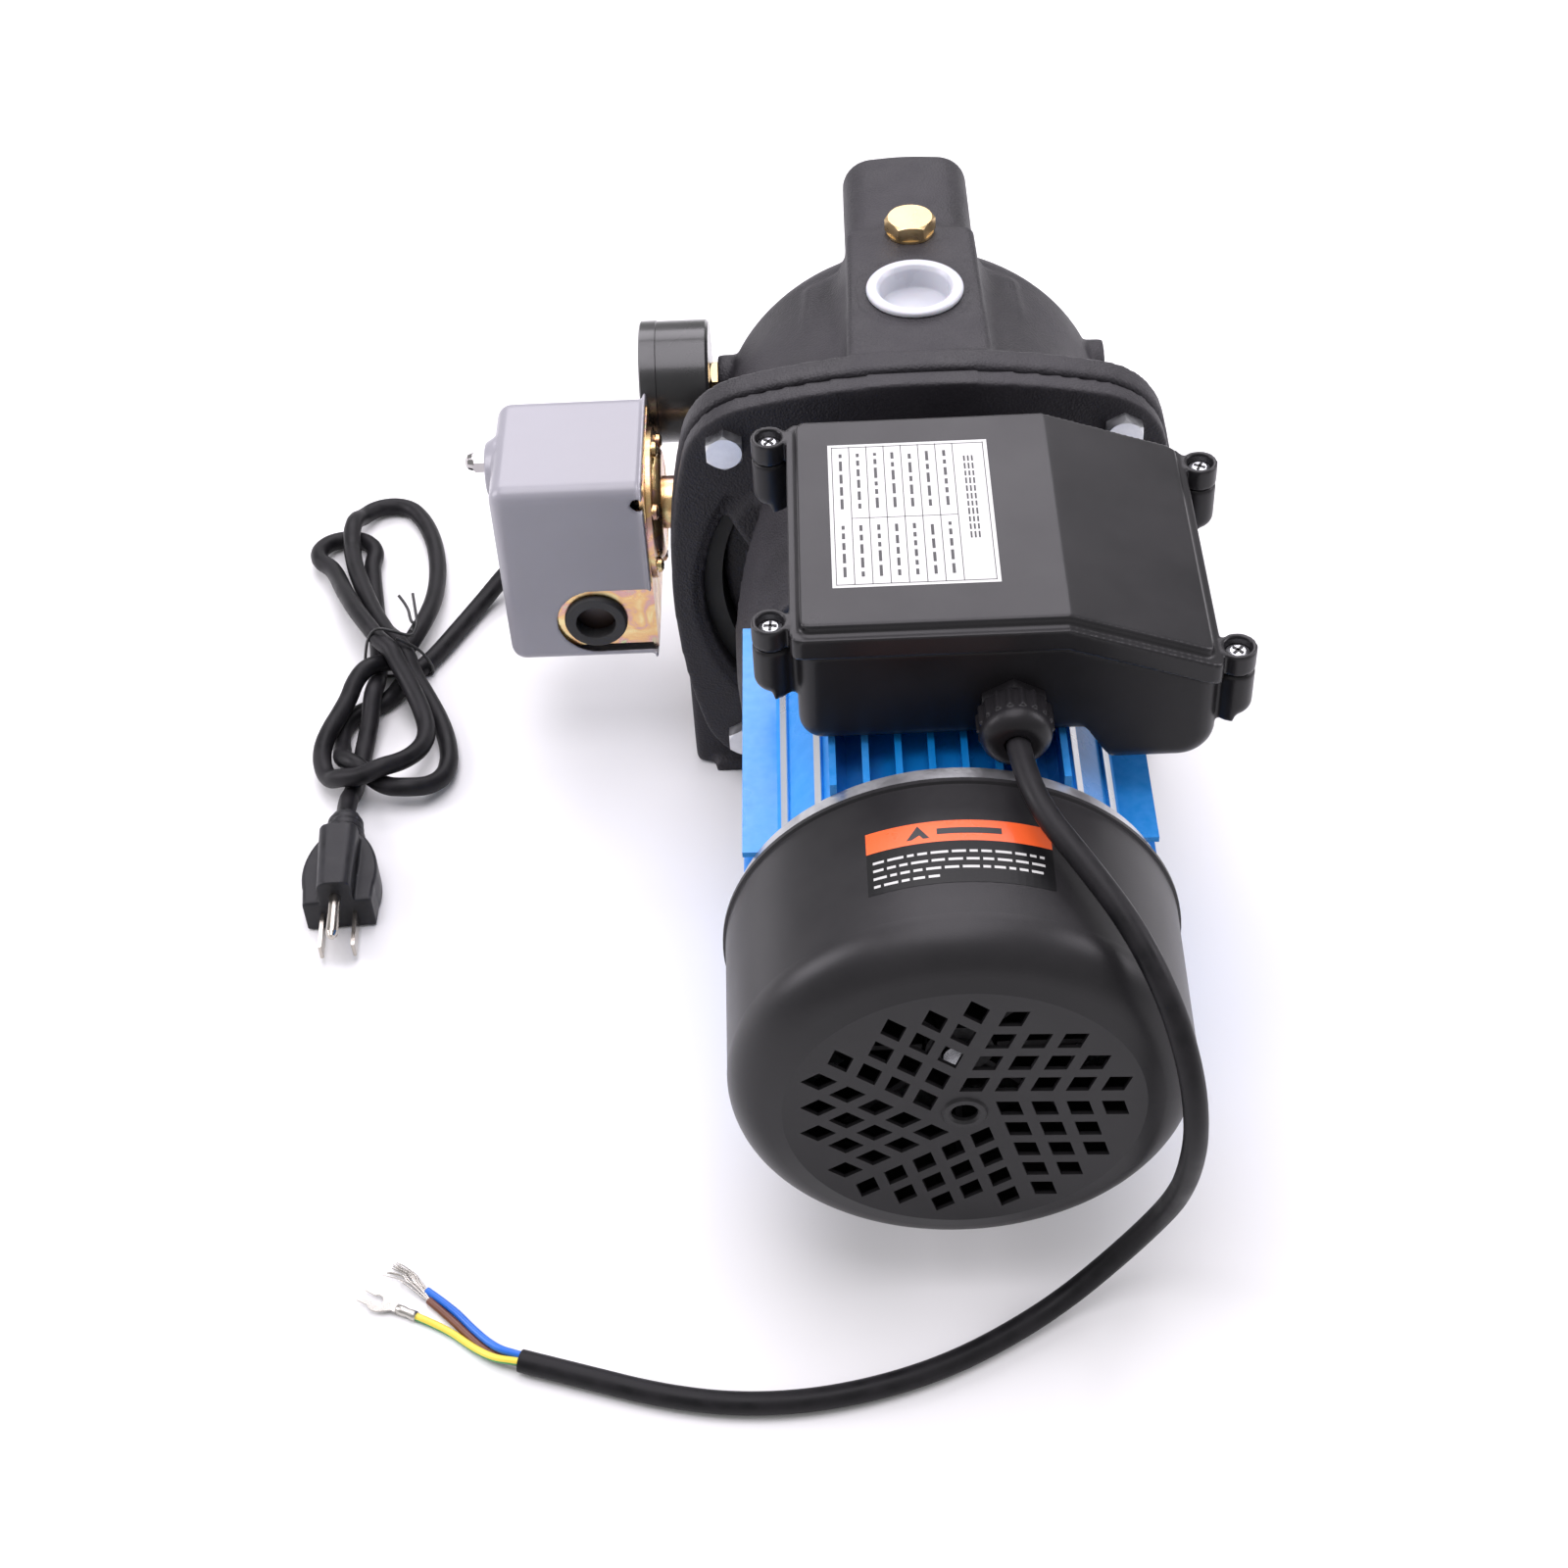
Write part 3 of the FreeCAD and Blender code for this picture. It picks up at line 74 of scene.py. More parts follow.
camera_data = bpy.data.cameras.new("camera")
camera_data.sensor_width = 36
camera_data.lens = 57.17
camera = bpy.data.objects.new("camera", camera_data)
scene.collection.objects.link(camera)
right, up, back = camera_axes(YAW, PITCH, ROLL)
camera.matrix_world = Matrix.Translation(CAMERA_AT) @ Matrix((right, up, back)).transposed().to_4x4()
scene.camera = camera
print("camera at", tuple(round(v, 3) for v in CAMERA_AT))

# %% [markdown]
# A finish in Blender is a tree of nodes. These helpers add a node, join two sockets and start a group,
# so that the trees below read as a list of what each surface does.

# %% Helpers for node trees
def add(tree, kind, **settings):
    made = tree.nodes.new(kind)
    for name, value in settings.items():
        setattr(made, name, value)
    return made


def join(tree, source, target):
    tree.links.new(source, target)


def sum_of(tree, operation, first, second):
    """A Math node whose inputs are sockets or plain numbers."""
    made = add(tree, "ShaderNodeMath", operation=operation)
    for socket, value in zip(made.inputs, (first, second)):
        if isinstance(value, (int, float)):
            socket.default_value = value
        else:
            join(tree, value, socket)
    return made.outputs[0]


def new_group(name, kind, inputs, outputs):
    tree = bpy.data.node_groups.new(name, kind)
    for label, socket_type, default in inputs:
        socket = tree.interface.new_socket(label, in_out="INPUT", socket_type=socket_type)
        if default is not None:
            socket.default_value = default
    for label, socket_type in outputs:
        tree.interface.new_socket(label, in_out="OUTPUT", socket_type=socket_type)
    return tree, tree.nodes.new("NodeGroupInput"), tree.nodes.new("NodeGroupOutput")


def blend_colours(tree, factor, first, second):
    """A colour Mix node. Colours may be tuples or sockets."""
    mix = add(tree, "ShaderNodeMix", data_type="RGBA")
    join(tree, factor, mix.inputs["Factor"])
    for socket, value in ((mix.inputs[6], first), (mix.inputs[7], second)):
        if isinstance(value, tuple):
            socket.default_value = (*value, 1)
        else:
            join(tree, value, socket)
    return mix.outputs[2]


# %% [markdown]
# Three effects turn up on nearly every part of a pump, so each is a shader node group.
# Grain is the fine relief of sand casting, moulding or rolling, with slow patches for tone.
# Edge highlight and wear finds convex edges by the mesh's pointiness and breaks them up with noise: on painted and
# plastic finishes the lighter edge colour is a painted highlight, on brass it is rubbed metal.
# Dust settles on faces that look up, and lies in uneven patches.

# %% Effect groups
def build_grain_group():
    tree, inside, outside = new_group(
        "grain", "ShaderNodeTree",
        [("Fine scale", "NodeSocketFloat", 1500.0), ("Patch scale", "NodeSocketFloat", 40.0),
         ("Pits", "NodeSocketFloat", 0.3)],
        [("Height", "NodeSocketFloat"), ("Patch", "NodeSocketFloat")])
    place = add(tree, "ShaderNodeTexCoord")
    fine = add(tree, "ShaderNodeTexNoise")
    fine.inputs["Detail"].default_value = 4
    patch = add(tree, "ShaderNodeTexNoise")
    patch.inputs["Detail"].default_value = 5
    pits = add(tree, "ShaderNodeTexVoronoi")
    for texture, label in ((fine, "Fine scale"), (patch, "Patch scale"), (pits, "Fine scale")):
        join(tree, place.outputs["Object"], texture.inputs["Vector"])
        join(tree, inside.outputs[label], texture.inputs["Scale"])
    dents = sum_of(tree, "MULTIPLY", pits.outputs["Distance"], inside.outputs["Pits"])
    join(tree, sum_of(tree, "ADD", fine.outputs["Fac"], dents), outside.inputs["Height"])
    spread = add(tree, "ShaderNodeMapRange")
    spread.inputs["From Min"].default_value = 0.32
    spread.inputs["From Max"].default_value = 0.68
    join(tree, patch.outputs["Fac"], spread.inputs["Value"])
    join(tree, spread.outputs["Result"], outside.inputs["Patch"])
    return tree


def build_edge_group():
    tree, inside, outside = new_group(
        "edge_highlight_and_wear", "ShaderNodeTree",
        [("Start", "NodeSocketFloat", 0.53), ("Full", "NodeSocketFloat", 0.62), ("Breakup", "NodeSocketFloat", 300.0)],
        [("Mask", "NodeSocketFloat")])
    shape = add(tree, "ShaderNodeNewGeometry")
    ramp = add(tree, "ShaderNodeMapRange")
    join(tree, shape.outputs["Pointiness"], ramp.inputs["Value"])
    join(tree, inside.outputs["Start"], ramp.inputs["From Min"])
    join(tree, inside.outputs["Full"], ramp.inputs["From Max"])
    place = add(tree, "ShaderNodeTexCoord")
    noise = add(tree, "ShaderNodeTexNoise")
    join(tree, place.outputs["Object"], noise.inputs["Vector"])
    join(tree, inside.outputs["Breakup"], noise.inputs["Scale"])
    join(tree, sum_of(tree, "MULTIPLY", ramp.outputs["Result"], noise.outputs["Fac"]), outside.inputs["Mask"])
    return tree


def build_dust_group():
    tree, inside, outside = new_group(
        "dust", "ShaderNodeTree",
        [("Amount", "NodeSocketFloat", 0.1), ("Scale", "NodeSocketFloat", 90.0)],
        [("Mask", "NodeSocketFloat")])
    shape = add(tree, "ShaderNodeNewGeometry")
    split = add(tree, "ShaderNodeSeparateXYZ")
    join(tree, shape.outputs["Normal"], split.inputs[0])
    place = add(tree, "ShaderNodeTexCoord")
    noise = add(tree, "ShaderNodeTexNoise")
    noise.inputs["Detail"].default_value = 8
    join(tree, place.outputs["Object"], noise.inputs["Vector"])
    join(tree, inside.outputs["Scale"], noise.inputs["Scale"])
    upward = sum_of(tree, "MAXIMUM", split.outputs["Z"], 0.0)
    mask = sum_of(tree, "MULTIPLY", sum_of(tree, "MULTIPLY", upward, noise.outputs["Fac"]), inside.outputs["Amount"])
    join(tree, mask, outside.inputs["Mask"])
    return tree


GRAIN, EDGES, DUST = build_grain_group(), build_edge_group(), build_dust_group()
print("effect groups:", GRAIN.name, EDGES.name, DUST.name)

# %% [markdown]
# One recipe serves most finishes: a base colour that drifts to a second tone in patches, a lighter tone on
# the edges (a painted highlight; on brass, rubbed metal), dust on top, a roughness that follows the patches, and grain
# as a bump.
# What is the same all over a surface, such as metal or clear coat, is set on the shader itself.

# %% The finish recipe
def finish(name, base, second, rough, grain, patch=45.0, edge=None, edge_range=(0.53, 0.62), dust=0.06,
           metallic=0.0, coat=0.0, pits=0.3, gloss=0.5):
    """rough is (smoothest, dullest), and grain is (scale per metre, depth in metres)."""
    material = bpy.data.materials.new(name)
    material.use_nodes = True
    tree = material.node_tree
    shader = tree.nodes["Principled BSDF"]
    shader.inputs["Metallic"].default_value = metallic
    shader.inputs["Coat Weight"].default_value = coat
    shader.inputs["Specular IOR Level"].default_value = gloss
    shader.inputs["Coat Roughness"].default_value = 0.12
    relief = add(tree, "ShaderNodeGroup", node_tree=GRAIN)
    relief.inputs["Fine scale"].default_value = grain[0]
    relief.inputs["Patch scale"].default_value = patch
    relief.inputs["Pits"].default_value = pits
    colour = blend_colours(tree, relief.outputs["Patch"], base, second)
    # The edge colour is a painted highlight on convex edges, except on brass, where it stands for rubbed metal.
    if edge:
        highlight_and_wear = add(tree, "ShaderNodeGroup", node_tree=EDGES)
        highlight_and_wear.inputs["Start"].default_value, highlight_and_wear.inputs["Full"].default_value = edge_range
        colour = blend_colours(tree, highlight_and_wear.outputs["Mask"], colour, edge)
    if dust:
        settled = add(tree, "ShaderNodeGroup", node_tree=DUST)
        settled.inputs["Amount"].default_value = dust
        colour = blend_colours(tree, settled.outputs["Mask"], colour, (0.45, 0.44, 0.43))
    join(tree, colour, shader.inputs["Base Color"])
    dull = add(tree, "ShaderNodeMapRange")
    dull.inputs["To Min"].default_value, dull.inputs["To Max"].default_value = rough
    join(tree, relief.outputs["Patch"], dull.inputs["Value"])
    join(tree, dull.outputs["Result"], shader.inputs["Roughness"])
    bump = add(tree, "ShaderNodeBump")
    bump.inputs["Strength"].default_value = 0.6
    bump.inputs["Distance"].default_value = grain[1]
    join(tree, relief.outputs["Height"], bump.inputs["Height"])
    join(tree, bump.outputs["Normal"], shader.inputs["Normal"])
    return material


def dress(material, *names):
    """Gives CAD nodes a finish through their objects' own slots."""
    for name in names:
        for slot in NODES[name].material_slots:
            slot.material = material


# %% [markdown]
# The cords come first, because the room they take is part of the model's size.
# A rubber jacket is dull, a little greasy where hands have held it, and faintly ribbed by its extrusion.

# %% Cord finishes
CORD_RUBBER = finish("cord_rubber", (0.006, 0.006, 0.007), (0.014, 0.013, 0.015), (0.36, 0.52), (2600, 0.00006),
                     patch=120, dust=0.01, gloss=0.18)
# The plug vinyl's lighter edge colour is a painted highlight.
PLUG_VINYL = finish("plug_vinyl", (0.01, 0.01, 0.012), (0.02, 0.02, 0.023), (0.36, 0.5), (3200, 0.00004),
                    patch=150, edge=(0.07, 0.07, 0.075), dust=0.02, gloss=0.25)
BLUE_WIRE = finish("blue_wire", (0.01, 0.12, 0.55), (0.015, 0.17, 0.7), (0.25, 0.38), (2000, 0.00002), dust=0)
BROWN_WIRE = finish("brown_wire", (0.13, 0.045, 0.025), (0.2, 0.075, 0.04), (0.3, 0.4), (2000, 0.00002), dust=0)
STRAND_METAL = finish("tinned_strands", (0.42, 0.4, 0.37), (0.56, 0.54, 0.5), (0.2, 0.36), (4000, 0.00002),
                      metallic=1.0, dust=0)


def earth_wire_finish():
    """Yellow insulation with one green stripe, which follows the wire by its own UV map."""
    material = finish("earth_wire", (0.8, 0.62, 0.06), (0.85, 0.7, 0.1), (0.28, 0.4), (2000, 0.00002), dust=0)
    tree = material.node_tree
    shader = tree.nodes["Principled BSDF"]
    around = add(tree, "ShaderNodeUVMap")
    split = add(tree, "ShaderNodeSeparateXYZ")
    join(tree, around.outputs["UV"], split.inputs[0])
    stripe = sum_of(tree, "GREATER_THAN", split.outputs["Y"], 0.62)
    yellow = shader.inputs["Base Color"].links[0].from_socket
    join(tree, blend_colours(tree, stripe, yellow, (0.02, 0.3, 0.06)), shader.inputs["Base Color"])
    return material


EARTH_WIRE = earth_wire_finish()

# %% [markdown]
# Each cord is one NURBS curve of order three, whose control points are its route: straight out of the
# gland or grommet, down under its own weight and along the floor. The order is set after the points are
# added, because a spline with no points yet would fall back to straight runs.

# %% Curves for cords and wires
CORD_DIAMETER = 7.8 * MM


def smooth_line(name, route_mm, diameter, material):
    data = bpy.data.curves.new(name, "CURVE")
    data.dimensions = "3D"
    data.resolution_u = 10
    spline = data.splines.new("NURBS")
    spline.points.add(len(route_mm) - 1)
    for point, place in zip(spline.points, route_mm):
        point.co = (*(v * MM for v in place), 1)
    spline.order_u = 3
    spline.use_endpoint_u = True
    data.bevel_depth = diameter / 2
    data.bevel_resolution = 6
    data.use_fill_caps = True
    data.materials.append(material)
    made = bpy.data.objects.new(name, data)
    scene.collection.objects.link(made)
    return made


def centre_points(line):
    """Points along a curve's own line, read from the curve with its bevel taken off."""
    plain = line.copy()
    plain.data = line.data.copy()
    plain.data.bevel_depth = 0
    scene.collection.objects.link(plain)
    mesh = bpy.data.meshes.new_from_object(plain.evaluated_get(bpy.context.evaluated_depsgraph_get()))
    points = [v.co.copy() for v in mesh.vertices]
    bpy.data.objects.remove(plain)
    return points


def line_length(points):
    return sum((b - a).length for a, b in zip(points, points[1:]))


# %% [markdown]
# The motor's lead is about 45 cm long. It leaves the gland above the fan cover, drops past the cover's
# right side and runs round behind it. Its far end is not cut off: the jacket is stripped and three wires
# come out of it, two with bared strands and one in a crimped fork.

# %% Motor lead
MOTOR_ROUTE = [(20.6, -174, 180.5), (20.6, -181, 180.5), (25.1, -203.9, 177.1), (38.1, -223.4, 171.3),
               (50.6, -242.5, 163.8), (60.3, -260.7, 151.3), (66.6, -273.3, 131.9), (69.4, -277.1, 108.3),
               (69.4, -273.6, 84.5), (68.2, -266.6, 61.4), (63.8, -259.7, 39), (51.1, -260.5, 19.1),
               (33, -268.5, 6.2), (12.8, -280.6, 4), (-8.1, -291.3, 4), (-31, -298.7, 4.1), (-54.8, -302.6, 4),
               (-79, -302.5, 4), (-102.6, -298.1, 4), (-125.6, -290.8, 4), (-148.5, -283.5, 4)]
motor_lead = smooth_line("motor_lead", MOTOR_ROUTE, CORD_DIAMETER, CORD_RUBBER)
WIRE_ROUTES = {
    "wire_blue": [(-145, -283.4, 5.3), (-150, -281.6, 5.2), (-157, -278.5, 4.2), (-165, -270.5, 2.4),
                  (-173.5, -260.5, 1.5), (-183, -253, 1.5)],
    "wire_brown": [(-145, -284.8, 2.6), (-150, -283.2, 2.6), (-158, -280, 2.0), (-165, -274, 1.5),
                   (-173.5, -265, 1.5), (-182, -257, 1.5)],
    "wire_earth": [(-145, -285.6, 5.2), (-150, -284.2, 5.0), (-157.5, -282, 3.4), (-165.5, -276.5, 1.8),
                   (-175, -268.5, 1.5), (-186.5, -263, 1.8)],
}
WIRE_FINISHES = {"wire_blue": BLUE_WIRE, "wire_brown": BROWN_WIRE, "wire_earth": EARTH_WIRE}
wires = {name: smooth_line(name, route, 2.7 * MM, WIRE_FINISHES[name]) for name, route in WIRE_ROUTES.items()}
motor_length = line_length(centre_points(motor_lead))
print("motor lead length", round(motor_length, 4))

# %% [markdown]
# The switch's lead is bought tied in a bow. It drops from the far grommet, comes round behind the
# switch, and is wound into two long loops that cross at a wire tie, before it reaches the plug.
# The strands lie beside and on each other, so the height of each point says which one is on top.

# %% Switch lead
SWITCH_ROUTE = [
    (-130, 73, 68.6), (-130, 78.5, 68.6), (-131.2, 90.9, 66.2), (-132.6, 99.2, 63.5), (-134.7, 106.9, 59.4),
    (-137.6, 113.6, 54.2), (-141.3, 119.1, 48.1), (-145.8, 123.2, 41.5), (-151.1, 126, 34.7),
    (-157.2, 127, 28.2), (-163.7, 126.6, 22.1), (-170.6, 124.5, 16.6), (-177.3, 120.8, 11.9),
    (-183.3, 115.2, 8.3), (-188.5, 108.2, 5.8), (-193.3, 100.8, 4.4), (-197.5, 92.9, 4.1),
    (-201.7, 84.9, 4), (-205.8, 76.9, 4), (-210.2, 69.1, 4), (-215.3, 61.7, 4), (-221.3, 55, 4),
    (-224.4, 46.4, 4), (-230.5, 40, 3.9), (-238.9, 36.5, 4), (-243.6, 28.5, 4.2), (-244, 19.4, 3.9),
    (-242, 10.8, 5.4), (-240.7, 2.9, 9.9), (-234.7, -3.3, 13.4), (-227.6, -7.8, 9.4), (-221, -13.9, 9.4),
    (-212.1, -15.7, 10.3), (-203.7, -12.8, 7.6), (-198.3, -5.7, 5.4), (-196.9, 3.2, 4.5),
    (-197.8, 12.1, 4.3), (-200, 20.8, 4.5), (-203, 29.3, 5), (-206.9, 37.3, 6.3), (-211.1, 45, 8.1),
    (-215.5, 52.4, 10.6), (-218.3, 59.9, 14.8), (-222.8, 67.2, 17.3), (-228.1, 74.3, 14.9),
    (-232.2, 82.3, 14.2), (-236, 90.4, 13.7), (-239.4, 98.7, 13.2), (-242.5, 107.1, 12.7),
    (-245.5, 115.5, 12.2), (-248.3, 124, 11.6), (-250.5, 132.7, 11), (-252.2, 141.5, 10.3),
    (-252.9, 150.3, 12.2), (-252.4, 159.2, 11.2), (-250.7, 166.7, 6.2), (-246.1, 174.5, 4.8),
    (-237.3, 177.6, 4.1), (-228.7, 174.4, 4), (-223.5, 166.9, 4), (-219.6, 158.8, 4), (-216.7, 150.3, 4.1),
    (-214.6, 141.6, 4.2), (-213.2, 132.8, 4.4), (-212.3, 123.8, 4.8), (-212, 114.9, 5.6),
    (-212.2, 106, 6.7), (-213.1, 97.2, 7.9), (-214.7, 88.4, 9), (-217, 79.7, 9.8), (-220.3, 71.4, 8.8),
    (-224.9, 63.6, 8.4), (-228.4, 57.1, 13.9), (-234.5, 51.1, 17.2), (-238.7, 43.3, 16.4),
    (-240.9, 34.9, 13.9), (-244.1, 26.6, 12.6), (-247.3, 18.2, 11.8), (-249.6, 9.7, 10.2), (-249.1, 1, 7.9),
    (-245.1, -7.4, 7.7), (-239.1, -11.7, 13.3), (-230.5, -14.1, 15.4), (-222.2, -11.3, 18),
    (-215.2, -6, 15.2), (-209.8, 0.9, 13), (-206.8, 9.2, 11.1), (-206.6, 18.2, 10.1), (-208.9, 26.9, 10.6),
    (-212.2, 35, 12.5), (-216.1, 42.7, 15.1), (-220.3, 50.1, 17.8), (-224.2, 57.5, 21.5),
    (-230.1, 64.3, 20.6), (-234.7, 72, 20.6), (-239.2, 79.8, 19.8), (-243.3, 87.7, 18.5),
    (-246.8, 95.7, 16.7), (-250.2, 103.7, 14.6), (-253.3, 111.9, 12.4), (-256.3, 120.1, 10.4),
    (-260, 128.1, 8.7), (-266.5, 134.5, 7.7), (-268.2, 143.4, 6.4), (-263.7, 151.4, 4.9),
    (-255, 154.6, 3.9), (-246.3, 151.1, 3.9), (-241.9, 143, 4.3), (-242.9, 134, 4.6), (-241.7, 125.1, 4.8),
    (-240.2, 116.3, 4.9), (-238.7, 107.4, 4.9), (-237.2, 98.6, 4.9), (-235.8, 89.7, 4.9),
    (-234.5, 80.8, 4.9), (-233.3, 71.9, 4.9), (-232.3, 63, 4.9), (-232, 54, 6.1), (-230.9, 46.4, 10.9),
    (-231.3, 37.6, 12.9), (-231.7, 29.3, 8.9), (-232.4, 20.7, 6.6), (-233.2, 11.8, 5.2), (-233.8, 2.9, 4.1),
    (-234.7, -6, 4), (-235, -14.7, 5.9), (-236, -19.6, 8), (-235, -31.9, 11)]
switch_lead = smooth_line("switch_lead", SWITCH_ROUTE, CORD_DIAMETER, CORD_RUBBER)
switch_length = line_length(centre_points(switch_lead))
print("switch lead length", round(switch_length, 4))

# %% [markdown]
# Castings and mouldings have no sharp edges. A copy of a CAD node is merged, remeshed into small cubes,
# smoothed so that every edge turns round, and thinned again. Flat faces stay flat and holes stay round.

# %% Softened copies
def settle(piece, name, body, nodes=()):
    """Turns what the modifiers make into a plain mesh, and ties the piece to its body."""
    graph = bpy.context.evaluated_depsgraph_get()
    mesh = bpy.data.meshes.new_from_object(piece.evaluated_get(graph))
    piece.modifiers.clear()
    piece.data = mesh
    piece.name = name
    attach(piece, body)
    if nodes:
        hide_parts(*nodes)
    return piece


def softened(node, name, body, material, voxel, passes=6, keep=0.5):
    mesh = NODES[node].data.copy()
    shape = bmesh.new()
    shape.from_mesh(mesh)
    bmesh.ops.remove_doubles(shape, verts=shape.verts, dist=1e-6)
    shape.to_mesh(mesh)
    shape.free()
    piece = bpy.data.objects.new(name, mesh)
    scene.collection.objects.link(piece)
    cubes = piece.modifiers.new("remesh", "REMESH")
    cubes.mode = "VOXEL"
    cubes.voxel_size = voxel
    cubes.use_smooth_shade = True
    relax = piece.modifiers.new("smooth", "SMOOTH")
    relax.factor = 0.5
    relax.iterations = passes
    thin = piece.modifiers.new("thin", "DECIMATE")
    thin.ratio = keep
    settle(piece, name, body, [node])
    piece.data.materials.clear()
    piece.data.materials.append(material)
    piece.data.shade_smooth()
    print(name, "triangles", sum(len(p.vertices) - 2 for p in piece.data.polygons))
    return piece


# %% [markdown]
# The plug is a soft vinyl moulding with a ringed neck. Its blades are bright plated brass.

# %% Plug, tie and the cords' claims
PLATED = finish("plated_blades", (0.4, 0.37, 0.33), (0.54, 0.5, 0.45), (0.16, 0.32), (900, 0.00003), metallic=1.0, dust=0)
plug = softened("plug_body", "plug", "pump", PLUG_VINYL, 0.42 * MM, passes=2, keep=0.5)
dress(PLATED, "plug_pins")
TIE_PLASTIC = finish("tie_plastic", (0.012, 0.012, 0.013), (0.02, 0.02, 0.02), (0.3, 0.45), (2500, 0.00002), dust=0)


def tie_route():
    """Once and a bit round the crossing, then up into the two twisted ends."""
    route = [(-222, 61, 24), (-214.5, 61.5, 19), (-209.3, 62, 9), (-208.6, 62.4, 1.6), (-213, 62.8, 0.75),
             (-223, 63, 0.75), (-234, 63.2, 0.75), (-238.8, 63.6, 3.2), (-237.4, 64, 12), (-234.8, 64.2, 22),
             (-230.5, 64.4, 27.4), (-225, 64.5, 25.8), (-217.2, 65, 21.6)]
    twist = [(-216 + 1.1 * math.cos(1.7 * i), 67 + 0.9 * i, 21 + 0.5 * i + 1.1 * math.sin(1.7 * i)) for i in range(6)]
    return route + twist + [(-218, 78, 27), (-222, 82, 30)]


tie = smooth_line("cord_tie_wire", tie_route(), 1.3 * MM, TIE_PLASTIC)
tie_end = smooth_line("cord_tie_end", [(-216, 66, 21), (-213.5, 69, 23), (-214.5, 75, 26), (-216, 83, 30)], 1.3 * MM,
                      TIE_PLASTIC)
for piece, slot, node in ((motor_lead, "cord_black", "motor_cord"), (switch_lead, "cord_black", "switch_cord"),
                          (tie, "gasket_rubber", "cord_tie")):
    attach(piece, "pump")
    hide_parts(node)
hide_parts("switch_cord_hank")
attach(tie_end, "pump")
for name, wire in wires.items():
    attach(wire, "pump")
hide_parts("cord_wires")

# %% [markdown]
# Things that repeat are grown with Geometry Nodes. The first tree makes bared strands: a handful of
# short lines start at one point, each leans its own way round a heading, bends a little and is given
# thickness. The seed is fixed, so that they come out the same every time.

# %% Geometry Nodes helpers
def grow(name, tree, values, body, nodes=()):
    """Runs a tree on an empty mesh with its named inputs set, and keeps the result as a plain mesh."""
    piece = bpy.data.objects.new(name, bpy.data.meshes.new(name))
    scene.collection.objects.link(piece)
    modifier = piece.modifiers.new("grow", "NODES")
    modifier.node_group = tree
    keys = {item.name: item.identifier for item in tree.interface.items_tree if item.in_out == "INPUT"}
    for label, value in values.items():
        modifier[keys[label]] = value
    settle(piece, name, body, nodes)
    print(name, "faces", len(piece.data.polygons))
    return piece


def close_tree(tree, geometry, inside, outside):
    """Every tree ends the same way: real geometry with its own material."""
    real = add(tree, "GeometryNodeRealizeInstances")
    paint = add(tree, "GeometryNodeSetMaterial")
    join(tree, geometry, real.inputs["Geometry"])
    join(tree, real.outputs["Geometry"], paint.inputs["Geometry"])
    join(tree, inside.outputs["Material"], paint.inputs["Material"])
    join(tree, paint.outputs["Geometry"], outside.inputs["Geometry"])


